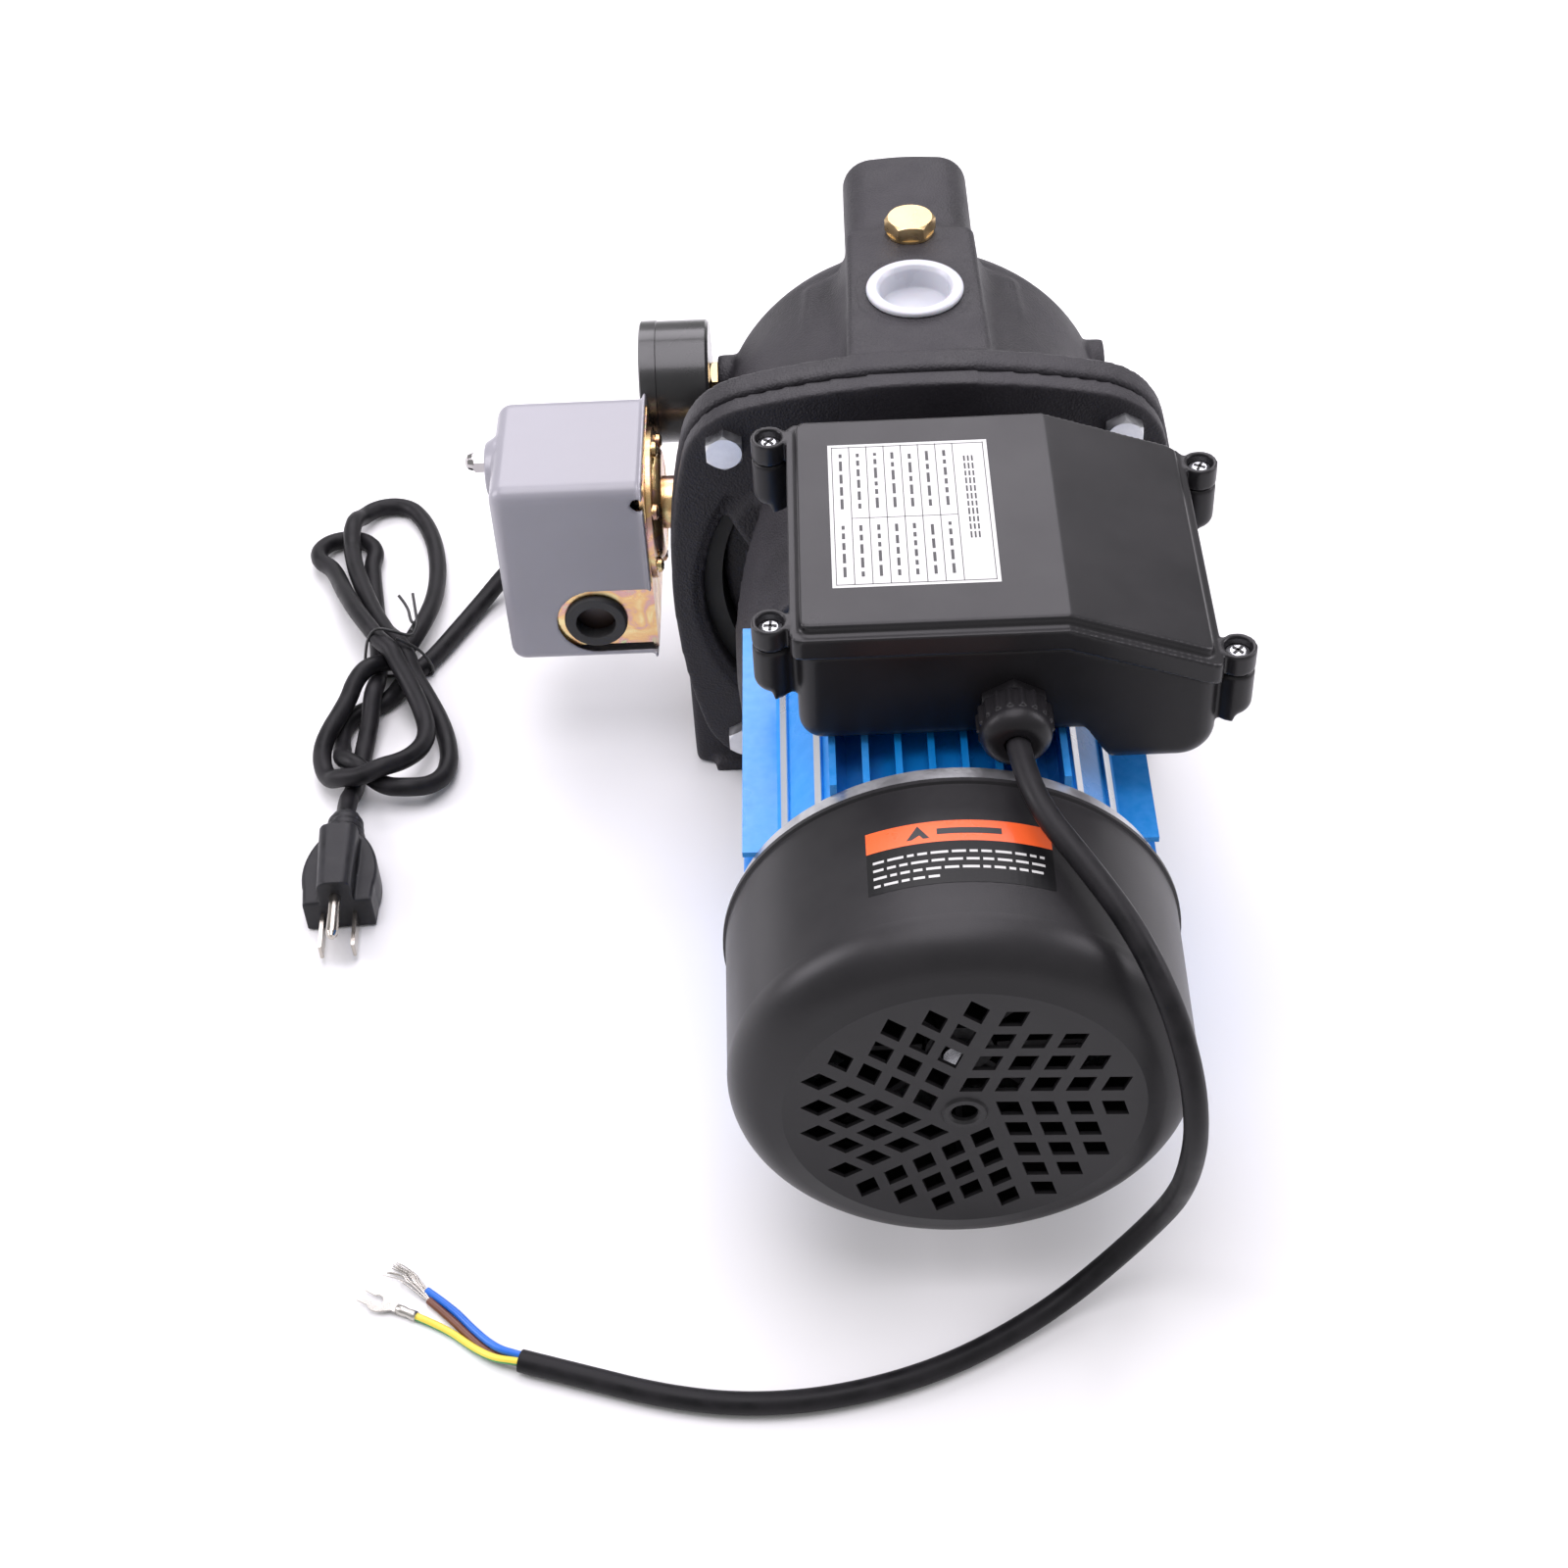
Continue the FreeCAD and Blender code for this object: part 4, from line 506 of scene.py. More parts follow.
def strand_tree():
    tree, inside, outside = new_group(
        "bared_strands", "GeometryNodeTree",
        [("Count", "NodeSocketInt", 9), ("Start", "NodeSocketVector", None), ("Heading", "NodeSocketVector", None),
         ("Length", "NodeSocketFloat", 0.016), ("Thickness", "NodeSocketFloat", 0.0002),
         ("Spread", "NodeSocketFloat", 0.3), ("Seed", "NodeSocketInt", 3), ("Material", "NodeSocketMaterial", None)],
        [("Geometry", "NodeSocketGeometry")])
    index = add(tree, "GeometryNodeInputIndex")
    points = add(tree, "GeometryNodePoints")
    join(tree, inside.outputs["Count"], points.inputs["Count"])
    join(tree, inside.outputs["Start"], points.inputs["Position"])
    lean = add(tree, "FunctionNodeRandomValue", data_type="FLOAT_VECTOR")
    lean.inputs["Min"].default_value = (-1, -1, -0.05)
    lean.inputs["Max"].default_value = (1, 1, 0.35)
    join(tree, inside.outputs["Seed"], lean.inputs["Seed"])
    join(tree, index.outputs[0], lean.inputs["ID"])
    scaled = add(tree, "ShaderNodeVectorMath", operation="SCALE")
    join(tree, lean.outputs["Value"], scaled.inputs[0])
    join(tree, inside.outputs["Spread"], scaled.inputs["Scale"])
    aim = add(tree, "ShaderNodeVectorMath", operation="ADD")
    join(tree, inside.outputs["Heading"], aim.inputs[0])
    join(tree, scaled.outputs["Vector"], aim.inputs[1])
    turn = add(tree, "FunctionNodeAlignRotationToVector", axis="Z")
    join(tree, aim.outputs["Vector"], turn.inputs["Vector"])
    line = add(tree, "GeometryNodeCurvePrimitiveLine", mode="DIRECTION")
    join(tree, inside.outputs["Length"], line.inputs["Length"])
    line.inputs["Direction"].default_value = (0, 0, 1)
    finer = add(tree, "GeometryNodeResampleCurve", mode="COUNT")
    finer.inputs["Count"].default_value = 7
    join(tree, line.outputs["Curve"], finer.inputs["Curve"])
    spots = add(tree, "GeometryNodeInstanceOnPoints")
    join(tree, points.outputs[0], spots.inputs["Points"])
    join(tree, finer.outputs["Curve"], spots.inputs["Instance"])
    join(tree, turn.outputs["Rotation"], spots.inputs["Rotation"])
    loose = add(tree, "GeometryNodeRealizeInstances")
    join(tree, spots.outputs["Instances"], loose.inputs["Geometry"])
    wave = add(tree, "ShaderNodeTexNoise")
    wave.inputs["Scale"].default_value = 110
    centred = add(tree, "ShaderNodeVectorMath", operation="SUBTRACT")
    centred.inputs[1].default_value = (0.5, 0.5, 0.45)
    join(tree, wave.outputs["Color"], centred.inputs[0])
    along = add(tree, "GeometryNodeSplineParameter")
    reach = add(tree, "ShaderNodeVectorMath", operation="SCALE")
    join(tree, centred.outputs["Vector"], reach.inputs[0])
    join(tree, sum_of(tree, "MULTIPLY", along.outputs["Factor"], 0.006), reach.inputs["Scale"])
    bend = add(tree, "GeometryNodeSetPosition")
    join(tree, loose.outputs["Geometry"], bend.inputs["Geometry"])
    join(tree, reach.outputs["Vector"], bend.inputs["Offset"])
    ring = add(tree, "GeometryNodeCurvePrimitiveCircle")
    ring.inputs["Resolution"].default_value = 6
    join(tree, inside.outputs["Thickness"], ring.inputs["Radius"])
    body = add(tree, "GeometryNodeCurveToMesh")
    body.inputs["Fill Caps"].default_value = True
    join(tree, bend.outputs["Geometry"], body.inputs["Curve"])
    join(tree, ring.outputs["Curve"], body.inputs["Profile Curve"])
    close_tree(tree, body.outputs["Mesh"], inside, outside)
    return tree


STRANDS = strand_tree()
strand_pieces = []
for number, wire in enumerate(("wire_blue", "wire_brown")):
    before, last = (Vector(p) * MM for p in WIRE_ROUTES[wire][-2:])
    heading = (last - before).normalized()
    bunch = grow("strands_" + wire, STRANDS,
                 {"Count": 12, "Start": last - heading * 2 * MM, "Heading": heading, "Length": 0.019 - 0.004 * number,
                  "Thickness": 0.00022, "Spread": 0.2, "Seed": 4 + number, "Material": STRAND_METAL},
                 "pump")
    strand_pieces.append(bunch)

# %% [markdown]
# The earth wire ends in a crimped fork. Its barrel is a rolled tube with a pressed waist, and the flat
# fork is one outline pushed up to the thickness of the sheet.

# %% Fork terminal
def mesh_piece(name, corners, faces, material, smooth=False):
    mesh = bpy.data.meshes.new(name)
    mesh.from_pydata([tuple(c) for c in corners], [], faces)
    mesh.materials.append(material)
    if smooth:
        mesh.shade_smooth()
    piece = bpy.data.objects.new(name, mesh)
    scene.collection.objects.link(piece)
    return piece


def turned_piece(name, profile, origin, axis, material, steps=48, body="pump"):
    """A lathe-turned shape from (radius, distance) pairs in millimetres, closed at its poles."""
    axis = Vector(axis).normalized()
    side = axis.orthogonal().normalized()
    other = axis.cross(side)
    corners, faces = [], []
    for radius, along in profile:
        for i in range(steps):
            turn = 2 * math.pi * i / steps
            out = side * math.cos(turn) + other * math.sin(turn)
            corners.append(Vector(origin) + (out * radius + axis * along) * MM)
    for ring in range(len(profile) - 1):
        for i in range(steps):
            j = (i + 1) % steps
            a, b = ring * steps, (ring + 1) * steps
            faces.append((a + i, a + j, b + j, b + i))
    piece = mesh_piece(name, corners, faces, material, smooth=True)
    shape = bmesh.new()
    shape.from_mesh(piece.data)
    bmesh.ops.remove_doubles(shape, verts=shape.verts, dist=1e-6)
    bmesh.ops.holes_fill(shape, edges=shape.edges, sides=steps)
    bmesh.ops.recalc_face_normals(shape, faces=shape.faces)
    shape.to_mesh(piece.data)
    shape.free()
    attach(piece, body)
    return piece


def fork_outline():
    outer = [(-1.6, 0), (-1.6, 3)]
    outer += [(4.2 * math.cos(a), 8.5 + 4.2 * math.sin(a)) for a in (math.radians(d) for d in range(215, 119, -16))]
    outer += [(-2.9, 15.5), (-1.8, 15.2)]
    slot_edge = [(2.1 * math.cos(a), 9 + 2.1 * math.sin(a)) for a in (math.radians(d) for d in range(130, 271, 20))]
    half = outer + slot_edge
    return half + [(-x, y) for x, y in reversed(half) if x < -1e-6]


def fork_piece():
    before, last = (Vector(p) * MM for p in WIRE_ROUTES["wire_earth"][-2:])
    heading = (last - before).normalized()
    side = heading.cross(Vector((0, 0, 1))).normalized()
    rise = side.cross(heading)
    start = last + heading * 5.5 * MM
    outline = [start + (side * x + heading * y) * MM for x, y in fork_outline()]
    piece = mesh_piece("fork_terminal", outline, [tuple(range(len(outline)))], STRAND_METAL)
    sheet = piece.modifiers.new("thickness", "SOLIDIFY")
    sheet.thickness = 0.8 * MM
    sheet.offset = 0
    settle(piece, "fork_terminal", "pump")
    barrel = turned_piece("fork_barrel", [(1.2, -1), (1.75, -1), (1.8, 0.5), (1.55, 2.4), (1.8, 4.4), (1.7, 6.6), (1.0, 7)],
                          last, heading, STRAND_METAL, 24)
    return [piece, barrel]


wire_pieces = list(wires.values()) + strand_pieces + fork_piece()

# %% [markdown]
# Sand-cast iron is painted thinly, so the sand's grain shows through the black. Its edges are painted a lighter grey,
# a painted highlight where they shine a little. The body and the bracket are both softened copies.

# %% Castings
CAST_IRON = finish("cast_iron_black", (0.012, 0.011, 0.014), (0.024, 0.022, 0.027), (0.42, 0.6), (1100, 0.00035), patch=30,
                   edge=(0.11, 0.105, 0.115), edge_range=(0.53, 0.66), dust=0.05, pits=0.8, gloss=0.3)
casting_body = softened("pump_body", "casting_body", "pump", CAST_IRON, 1.45 * MM, passes=5)
casting_bracket = softened("bracket", "casting_bracket", "pump", CAST_IRON, 1.3 * MM, passes=5)
GASKET_PAPER = finish("gasket_rubber", (0.012, 0.012, 0.012), (0.02, 0.02, 0.02), (0.6, 0.8), (2200, 0.00008))
dress(GASKET_PAPER, "body_gasket", "box_gasket")

# %% [markdown]
# The terminal box is moulded ABS. Its flat faces mirror the room softly, and its rounded edges are painted lighter, a
# painted highlight where they catch the light. The moulded base, the gland and the motor's rest share the same plastic
# with more texture.

# %% Terminal box
ABS_LID = finish("abs_lid", (0.01, 0.0095, 0.011), (0.015, 0.014, 0.016), (0.27, 0.36), (5200, 0.00003), patch=25,
                 edge=(0.05, 0.05, 0.052), dust=0.02, pits=0.1, gloss=0.3)
ABS_BASE = finish("abs_base", (0.008, 0.0075, 0.009), (0.013, 0.012, 0.014), (0.3, 0.4), (3800, 0.00004), patch=30,
                  edge=(0.05, 0.05, 0.052), dust=0.02, pits=0.1, gloss=0.25)
lid = softened("box_lid", "terminal_lid", "pump", ABS_LID, 0.75 * MM, passes=4)
box_shell = softened("box_base", "terminal_base", "pump", ABS_BASE, 0.85 * MM, passes=4)
gland_cap = softened("gland_nut", "gland_cap", "pump", ABS_BASE, 0.4 * MM, passes=2, keep=0.6)
rest_block = softened("motor_foot", "motor_rest", "pump", ABS_BASE, 1.0 * MM, passes=5, keep=0.3)
dress(ABS_BASE, "gland_body", "fan")
lid_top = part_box("box_lid")[1].z

# %% [markdown]
# Every screw head has a cross recess. It is not cut: one cross is built as two thin crossed bars in near black, a
# painted shadow that stands for the recess's depth, then a Geometry Nodes tree sets it on the given point of each head
# and turns it there by a random amount.

# %% Cross recesses
ZINC = finish("zinc_plate", (0.6, 0.61, 0.64), (0.74, 0.75, 0.77), (0.26, 0.42), (1400, 0.00004), patch=160,
              metallic=1.0, dust=0.05)
# The near-black cross is a painted shadow for the depth of a screw's recess.
RECESS_SHADOW = finish("recess_shadow", (0.02, 0.02, 0.02), (0.04, 0.04, 0.04), (0.6, 0.8), (3000, 0.00002), dust=0)


def cross_tree():
    tree, inside, outside = new_group(
        "cross_recess_shadows", "GeometryNodeTree",
        [("Points", "NodeSocketObject", None), ("Arm", "NodeSocketFloat", 0.0034), ("Width", "NodeSocketFloat", 0.0007),
         ("Heading", "NodeSocketVector", None), ("Seed", "NodeSocketInt", 1), ("Material", "NodeSocketMaterial", None)],
        [("Geometry", "NodeSocketGeometry")])
    heads = add(tree, "GeometryNodeObjectInfo")
    join(tree, inside.outputs["Points"], heads.inputs["Object"])
    arms = []
    for swap in (False, True):
        size = add(tree, "ShaderNodeCombineXYZ")
        first, second = ("Width", "Arm") if swap else ("Arm", "Width")
        join(tree, inside.outputs[first], size.inputs["X"])
        join(tree, inside.outputs[second], size.inputs["Y"])
        size.inputs["Z"].default_value = 0.0002
        bar = add(tree, "GeometryNodeMeshCube")
        join(tree, size.outputs[0], bar.inputs["Size"])
        arms.append(bar)
    cross = add(tree, "GeometryNodeJoinGeometry")
    for bar in arms:
        join(tree, bar.outputs["Mesh"], cross.inputs["Geometry"])
    face = add(tree, "FunctionNodeAlignRotationToVector", axis="Z")
    join(tree, inside.outputs["Heading"], face.inputs["Vector"])
    chance = add(tree, "FunctionNodeRandomValue", data_type="FLOAT")
    chance.inputs[3].default_value = 1.5
    join(tree, inside.outputs["Seed"], chance.inputs["Seed"])
    spin = add(tree, "ShaderNodeCombineXYZ")
    join(tree, chance.outputs[1], spin.inputs["Z"])
    spots = add(tree, "GeometryNodeInstanceOnPoints")
    join(tree, heads.outputs["Geometry"], spots.inputs["Points"])
    join(tree, cross.outputs["Geometry"], spots.inputs["Instance"])
    join(tree, face.outputs["Rotation"], spots.inputs["Rotation"])
    turned = add(tree, "GeometryNodeRotateInstances")
    join(tree, spots.outputs["Instances"], turned.inputs["Instances"])
    join(tree, spin.outputs[0], turned.inputs["Rotation"])
    close_tree(tree, turned.outputs["Instances"], inside, outside)
    return tree


CROSSES = cross_tree()


def head_centres(node, axis, sign, lift):
    """The middle of each loose solid of a node, moved to its end along one axis."""
    shape = bmesh.new()
    shape.from_mesh(NODES[node].data)
    bmesh.ops.remove_doubles(shape, verts=shape.verts, dist=1e-6)
    left, centres = set(shape.verts), []
    while left:
        island, edge = set(), [left.pop()]
        while edge:
            vertex = edge.pop()
            island.add(vertex)
            for link in vertex.link_edges:
                other = link.other_vert(vertex)
                if other in left:
                    left.discard(other)
                    edge.append(other)
        low = [min(v.co[i] for v in island) for i in range(3)]
        high = [max(v.co[i] for v in island) for i in range(3)]
        centre = Vector([(a + b) / 2 for a, b in zip(low, high)])
        centre[axis] = (high[axis] if sign > 0 else low[axis]) + sign * lift
        centres.append(centre)
    shape.free()
    return centres


def recesses(name, node, axis, sign, arm, body):
    heading = [0, 0, 0]
    heading[axis] = sign
    seeds = mesh_piece(name + "_points", head_centres(node, axis, sign, 0.02 * MM), [], RECESS_SHADOW)
    made = grow(name, CROSSES, {"Points": seeds, "Arm": arm * MM, "Width": arm * 0.22 * MM, "Heading": heading, "Seed": 5,
                                "Material": RECESS_SHADOW}, body)
    bpy.data.objects.remove(seeds)
    return made


recesses("lid_screw_recesses", "box_screws", 2, 1, 4.2, "pump")
recesses("switch_screw_recesses", "switch_screws", 0, 1, 3.6, "pump")
dress(ZINC, "flange_bolts", "tie_bolts", "fan_cover_screws", "box_screws", "range_stud", "range_spring")

# %% [markdown]
# The motor's shell is an aluminium extrusion, painted a glossy blue. The paint is rubbed bare along two
# raised edges on each corner land. The mask for the bare metal is worked out from the distance along
# and across the land's diagonal, with the shaft as the centre.

# %% Motor shell
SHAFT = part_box("shaft")
SHAFT_Z = (SHAFT[0].z + SHAFT[1].z) / 2


def motor_blue_finish():
    # The lighter blue on the convex edges is a painted highlight.
    material = finish("motor_blue", (0.002, 0.2, 0.62), (0.004, 0.27, 0.74), (0.22, 0.34), (900, 0.00006), patch=25,
                      edge=(0.1, 0.4, 0.95), edge_range=(0.54, 0.7), dust=0.01, coat=0.3, pits=0.2, gloss=0.35)
    tree = material.node_tree
    shader = tree.nodes["Principled BSDF"]
    place = add(tree, "ShaderNodeTexCoord")
    split = add(tree, "ShaderNodeSeparateXYZ")
    join(tree, place.outputs["Object"], split.inputs[0])
    across = sum_of(tree, "ABSOLUTE", split.outputs["X"], 0)
    upward = sum_of(tree, "ABSOLUTE", sum_of(tree, "SUBTRACT", split.outputs["Z"], SHAFT_Z), 0)
    reach = sum_of(tree, "MULTIPLY", sum_of(tree, "ADD", across, upward), math.sqrt(0.5))
    off = sum_of(tree, "MULTIPLY", sum_of(tree, "ABSOLUTE", sum_of(tree, "SUBTRACT", across, upward), 0),
                 math.sqrt(0.5))
    bare = sum_of(tree, "MULTIPLY", sum_of(tree, "GREATER_THAN", reach, 0.0672),
                  sum_of(tree, "MULTIPLY", sum_of(tree, "GREATER_THAN", off, 0.0062),
                         sum_of(tree, "LESS_THAN", off, 0.0098)))
    painted = shader.inputs["Base Color"].links[0].from_socket
    join(tree, blend_colours(tree, bare, painted, (0.72, 0.73, 0.75)), shader.inputs["Base Color"])
    join(tree, bare, shader.inputs["Metallic"])
    return material


MOTOR_BLUE = motor_blue_finish()
CAST_ALUMINIUM = finish("cast_aluminium", (0.5, 0.5, 0.52), (0.64, 0.65, 0.67), (0.34, 0.5), (700, 0.0001), patch=90,
                        metallic=1.0, dust=0.05, pits=0.6)
# The fan cover's lighter grey edges are a painted highlight.
SHEET_BLACK = finish("cover_black", (0.01, 0.0095, 0.011), (0.016, 0.015, 0.017), (0.34, 0.44), (3000, 0.00004), patch=14,
                     edge=(0.06, 0.06, 0.062), edge_range=(0.53, 0.66), dust=0.03, pits=0.1, gloss=0.28)
dress(MOTOR_BLUE, "motor_housing")
dress(CAST_ALUMINIUM, "end_shield")
dress(SHEET_BLACK, "fan_cover")

# %% [markdown]
# Stickers are thin sheets laid on the surface, and their print is thinner still. The words of a real
# rating plate are left out: plain bars stand where its text would be, inside a ruled grid.

# %% Stickers
STICKER_WHITE = finish("sticker_white", (0.54, 0.54, 0.53), (0.58, 0.58, 0.57), (0.3, 0.4), (1200, 0.00001), dust=0.02)
STICKER_BLACK = finish("sticker_black", (0.008, 0.008, 0.009), (0.012, 0.012, 0.012), (0.3, 0.36), (1200, 0.00001), dust=0,
                       gloss=0.2)
STICKER_ORANGE = finish("sticker_orange", (0.85, 0.12, 0.03), (0.9, 0.15, 0.04), (0.25, 0.32), (1200, 0.00001), dust=0)
PRINT_INK = finish("print_ink", (0.02, 0.02, 0.022), (0.035, 0.035, 0.037), (0.35, 0.5), (3000, 0.000005), dust=0)


def sheet_on(name, rectangles, place, material, steps=1):
    """Thin sheets from (u0, u1, v0, v1) rectangles. place says where a point of the sticker goes."""
    corners, faces = [], []
    for u0, u1, v0, v1 in rectangles:
        for i in range(steps):
            ua, ub = u0 + (u1 - u0) * i / steps, u0 + (u1 - u0) * (i + 1) / steps
            first = len(corners)
            corners += [place(ua, v0), place(ub, v0), place(ub, v1), place(ua, v1)]
            faces.append((first, first + 1, first + 2, first + 3))
    piece = mesh_piece(name, corners, faces, material)
    shape = bmesh.new()
    shape.from_mesh(piece.data)
    bmesh.ops.remove_doubles(shape, verts=shape.verts, dist=1e-7)
    shape.to_mesh(piece.data)
    shape.free()
    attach(piece, "pump")
    return piece


def text_bars(u0, u1, v0, v1, seed, word=(2.0, 5.5), gap=1.1):
    """A row of short bars, as long as words, along v."""
    dice = random.Random(seed)
    bars, v = [], v0
    while v < v1 - 1:
        end = min(v + dice.uniform(*word), v1)
        bars.append((u0, u1, v, end))
        v = end + gap
    return bars


RATING = (-34.9, 17.8, -144.0, -71.0)


def lid_place(lift):
    return lambda u, v: Vector((u, v, lid_top / MM + lift)) * MM


def rating_print():
    left, right, near, far = RATING
    marks = [(left + 1.2, right - 1.2, v, v + 0.3) for v in (near + 1.2, far - 1.7)]
    rows = [left + 1.2 + 5.7 * i for i in range(8)]
    marks += [(u, u + 0.26, near + 1.2, far - 1.2) for u in rows + [right - 1.5]]
    marks += [(left + 6.9, rows[-1], -110.0, -109.75)]
    for number, u in enumerate(rows[:-1]):
        marks += text_bars(u + 2.4, u + 3.4, near + 5, -113.5, number, gap=1.9)
        marks += text_bars(u + 2.4, u + 3.4, -105, far - 5, number + 20, gap=1.9)
    for line in (3.4, 4.7, 6.0):
        marks += text_bars(rows[-1] + line, rows[-1] + line + 0.6, near + 22, far - 8, 77, word=(2.4, 3.4), gap=1.1)
    return marks


rating_plate = sheet_on("rating_plate", [RATING], lid_place(0.06), STICKER_WHITE)
rating_marks = sheet_on("rating_print", rating_print(), lid_place(0.12), PRINT_INK)

COVER_LOW, COVER_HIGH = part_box("fan_cover")
COVER_RADIUS = (COVER_HIGH.z - COVER_LOW.z) / 2 / MM
print("fan cover radius", round(COVER_RADIUS, 2))


def cover_place(lift):
    """Bends a flat (u along the arc, v along the shaft) sheet round the cover's slightly tapered drum."""
    def place(u, v):
        radius = 75.0 - 0.8 * (-189.0 - v) / 53.0 + lift
        turn = u / 75.0
        return Vector((radius * math.sin(turn), v, SHAFT_Z / MM + radius * math.cos(turn))) * MM
    return place


CAUTION = (-28.5, 30.0, -230.0, -204.5)
ORANGE_FROM = -213.0
caution_black = sheet_on("caution_sheet", [(CAUTION[0], CAUTION[1], CAUTION[2], ORANGE_FROM)], cover_place(0.08),
                         STICKER_BLACK, 24)
caution_orange = sheet_on("caution_band", [(CAUTION[0], CAUTION[1], ORANGE_FROM, CAUTION[3])], cover_place(0.08),
                          STICKER_ORANGE, 24)


def lines_of_bars():
    bars = []
    for line in range(4):
        v = -217.4 - 3.2 * line
        bars += [(b[2], b[3], v - 0.5, v + 0.5) for b in text_bars(0, 0, -26.5, 27 if line < 3 else -6, 40 + line)]
    return bars


caution_marks = sheet_on("caution_print", lines_of_bars(), cover_place(0.14), STICKER_WHITE, 2)
caution_title = sheet_on("caution_title", [(-6, 14, -210.0, -207.6)], cover_place(0.14), PRINT_INK, 8)
triangle_corners = [cover_place(0.14)(u, v) for u, v in ((-15.5, -211.2), (-8.3, -211.2), (-11.9, -205.8))]
caution_sign = mesh_piece("caution_triangle", triangle_corners, [(0, 1, 2)], PRINT_INK)
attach(caution_sign, "pump")

# %% [markdown]
# The switch wears a drawn steel cover in light grey enamel over a yellow-passivated base plate. The
# passivation is a thin film, so its colour wanders from straw to copper and green.

# %% Pressure switch
# The enamel's much lighter edges are a painted highlight.
ENAMEL = finish("switch_enamel", (0.26, 0.255, 0.285), (0.285, 0.28, 0.315), (0.3, 0.4), (1800, 0.00004), patch=20,
                edge=(0.62, 0.61, 0.66), edge_range=(0.52, 0.6), dust=0.02, coat=0.25, pits=0.1)
hood = softened("switch_cover", "switch_hood_shell", "switch_hood", ENAMEL, 0.7 * MM, passes=5)


def passivated_finish():
    material = finish("yellow_passivated", (0.78, 0.6, 0.26), (0.72, 0.46, 0.2), (0.2, 0.36), (1500, 0.00004), patch=70,
                      metallic=1.0, dust=0.03)
    tree = material.node_tree
    shader = tree.nodes["Principled BSDF"]
    place = add(tree, "ShaderNodeTexCoord")
    film = add(tree, "ShaderNodeTexNoise")
    film.inputs["Scale"].default_value = 95
    film.inputs["Distortion"].default_value = 1.4
    join(tree, place.outputs["Object"], film.inputs["Vector"])
    ramp = add(tree, "ShaderNodeValToRGB")
    stops = [(0.3, (0.8, 0.66, 0.34, 1)), (0.5, (0.75, 0.47, 0.22, 1)), (0.62, (0.62, 0.36, 0.34, 1)),
             (0.75, (0.5, 0.6, 0.3, 1))]
    for place_at, colour in stops[2:]:
        ramp.color_ramp.elements.new(place_at).color = colour
    for element, (place_at, colour) in zip(ramp.color_ramp.elements, stops):
        element.position, element.color = place_at, colour
    join(tree, film.outputs["Fac"], ramp.inputs["Fac"])
    join(tree, ramp.outputs["Color"], shader.inputs["Base Color"])
    return material


PASSIVATED = passivated_finish()
BRASS = finish("brass", (0.62, 0.42, 0.19), (0.74, 0.54, 0.28), (0.2, 0.38), (1200, 0.00004), patch=110, metallic=1.0,
               edge=(0.85, 0.7, 0.45), dust=0.05)
POLISHED = finish("polished_nut", (0.42, 0.4, 0.4), (0.52, 0.5, 0.5), (0.1, 0.2), (1500, 0.00002), metallic=1.0, dust=0)
PHENOLIC = finish("phenolic", (0.03, 0.02, 0.018), (0.05, 0.03, 0.025), (0.3, 0.45), (2000, 0.00003))
SOFT_RUBBER = finish("grommet_rubber", (0.012, 0.012, 0.013), (0.02, 0.02, 0.021), (0.5, 0.66), (2200, 0.00005), patch=90)
grommets = softened("switch_grommets", "cord_grommets", "pump", SOFT_RUBBER, 0.45 * MM, passes=3)
dress(PASSIVATED, "switch_plate", "diaphragm_housing", "switch_screws", "switch_lever")
dress(BRASS, "priming_plug", "drain_plug", "switch_nipple", "gauge_connector", "impeller", "impeller_nut", "ejector_nozzle")
dress(POLISHED, "cover_nut")
dress(PHENOLIC, "contact_block", "diffuser", "venturi_tube", "terminal_block")

# %% [markdown]
# The gauge's dial looks away from the motor. Its ticks are grown by a second tree: small bars set
# round part of a circle, turned to point at the centre, long ones for the numbered divisions.

# %% Gauge dial
DIAL_WHITE = finish("dial_white", (0.8, 0.8, 0.78), (0.86, 0.86, 0.84), (0.4, 0.5), (900, 0.00001), dust=0)
# The gauge case's lighter edges are a painted highlight.
GAUGE_BLACK = finish("gauge_black", (0.008, 0.008, 0.009), (0.014, 0.014, 0.015), (0.24, 0.34), (2500, 0.00002), patch=30,
                     edge=(0.05, 0.05, 0.05), dust=0.03, coat=0.3)
DIAL_LOW, DIAL_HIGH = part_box("gauge_dial")
DIAL_CENTRE = Vector((DIAL_LOW.x - 0.00008, (DIAL_LOW.y + DIAL_HIGH.y) / 2, (DIAL_LOW.z + DIAL_HIGH.z) / 2))


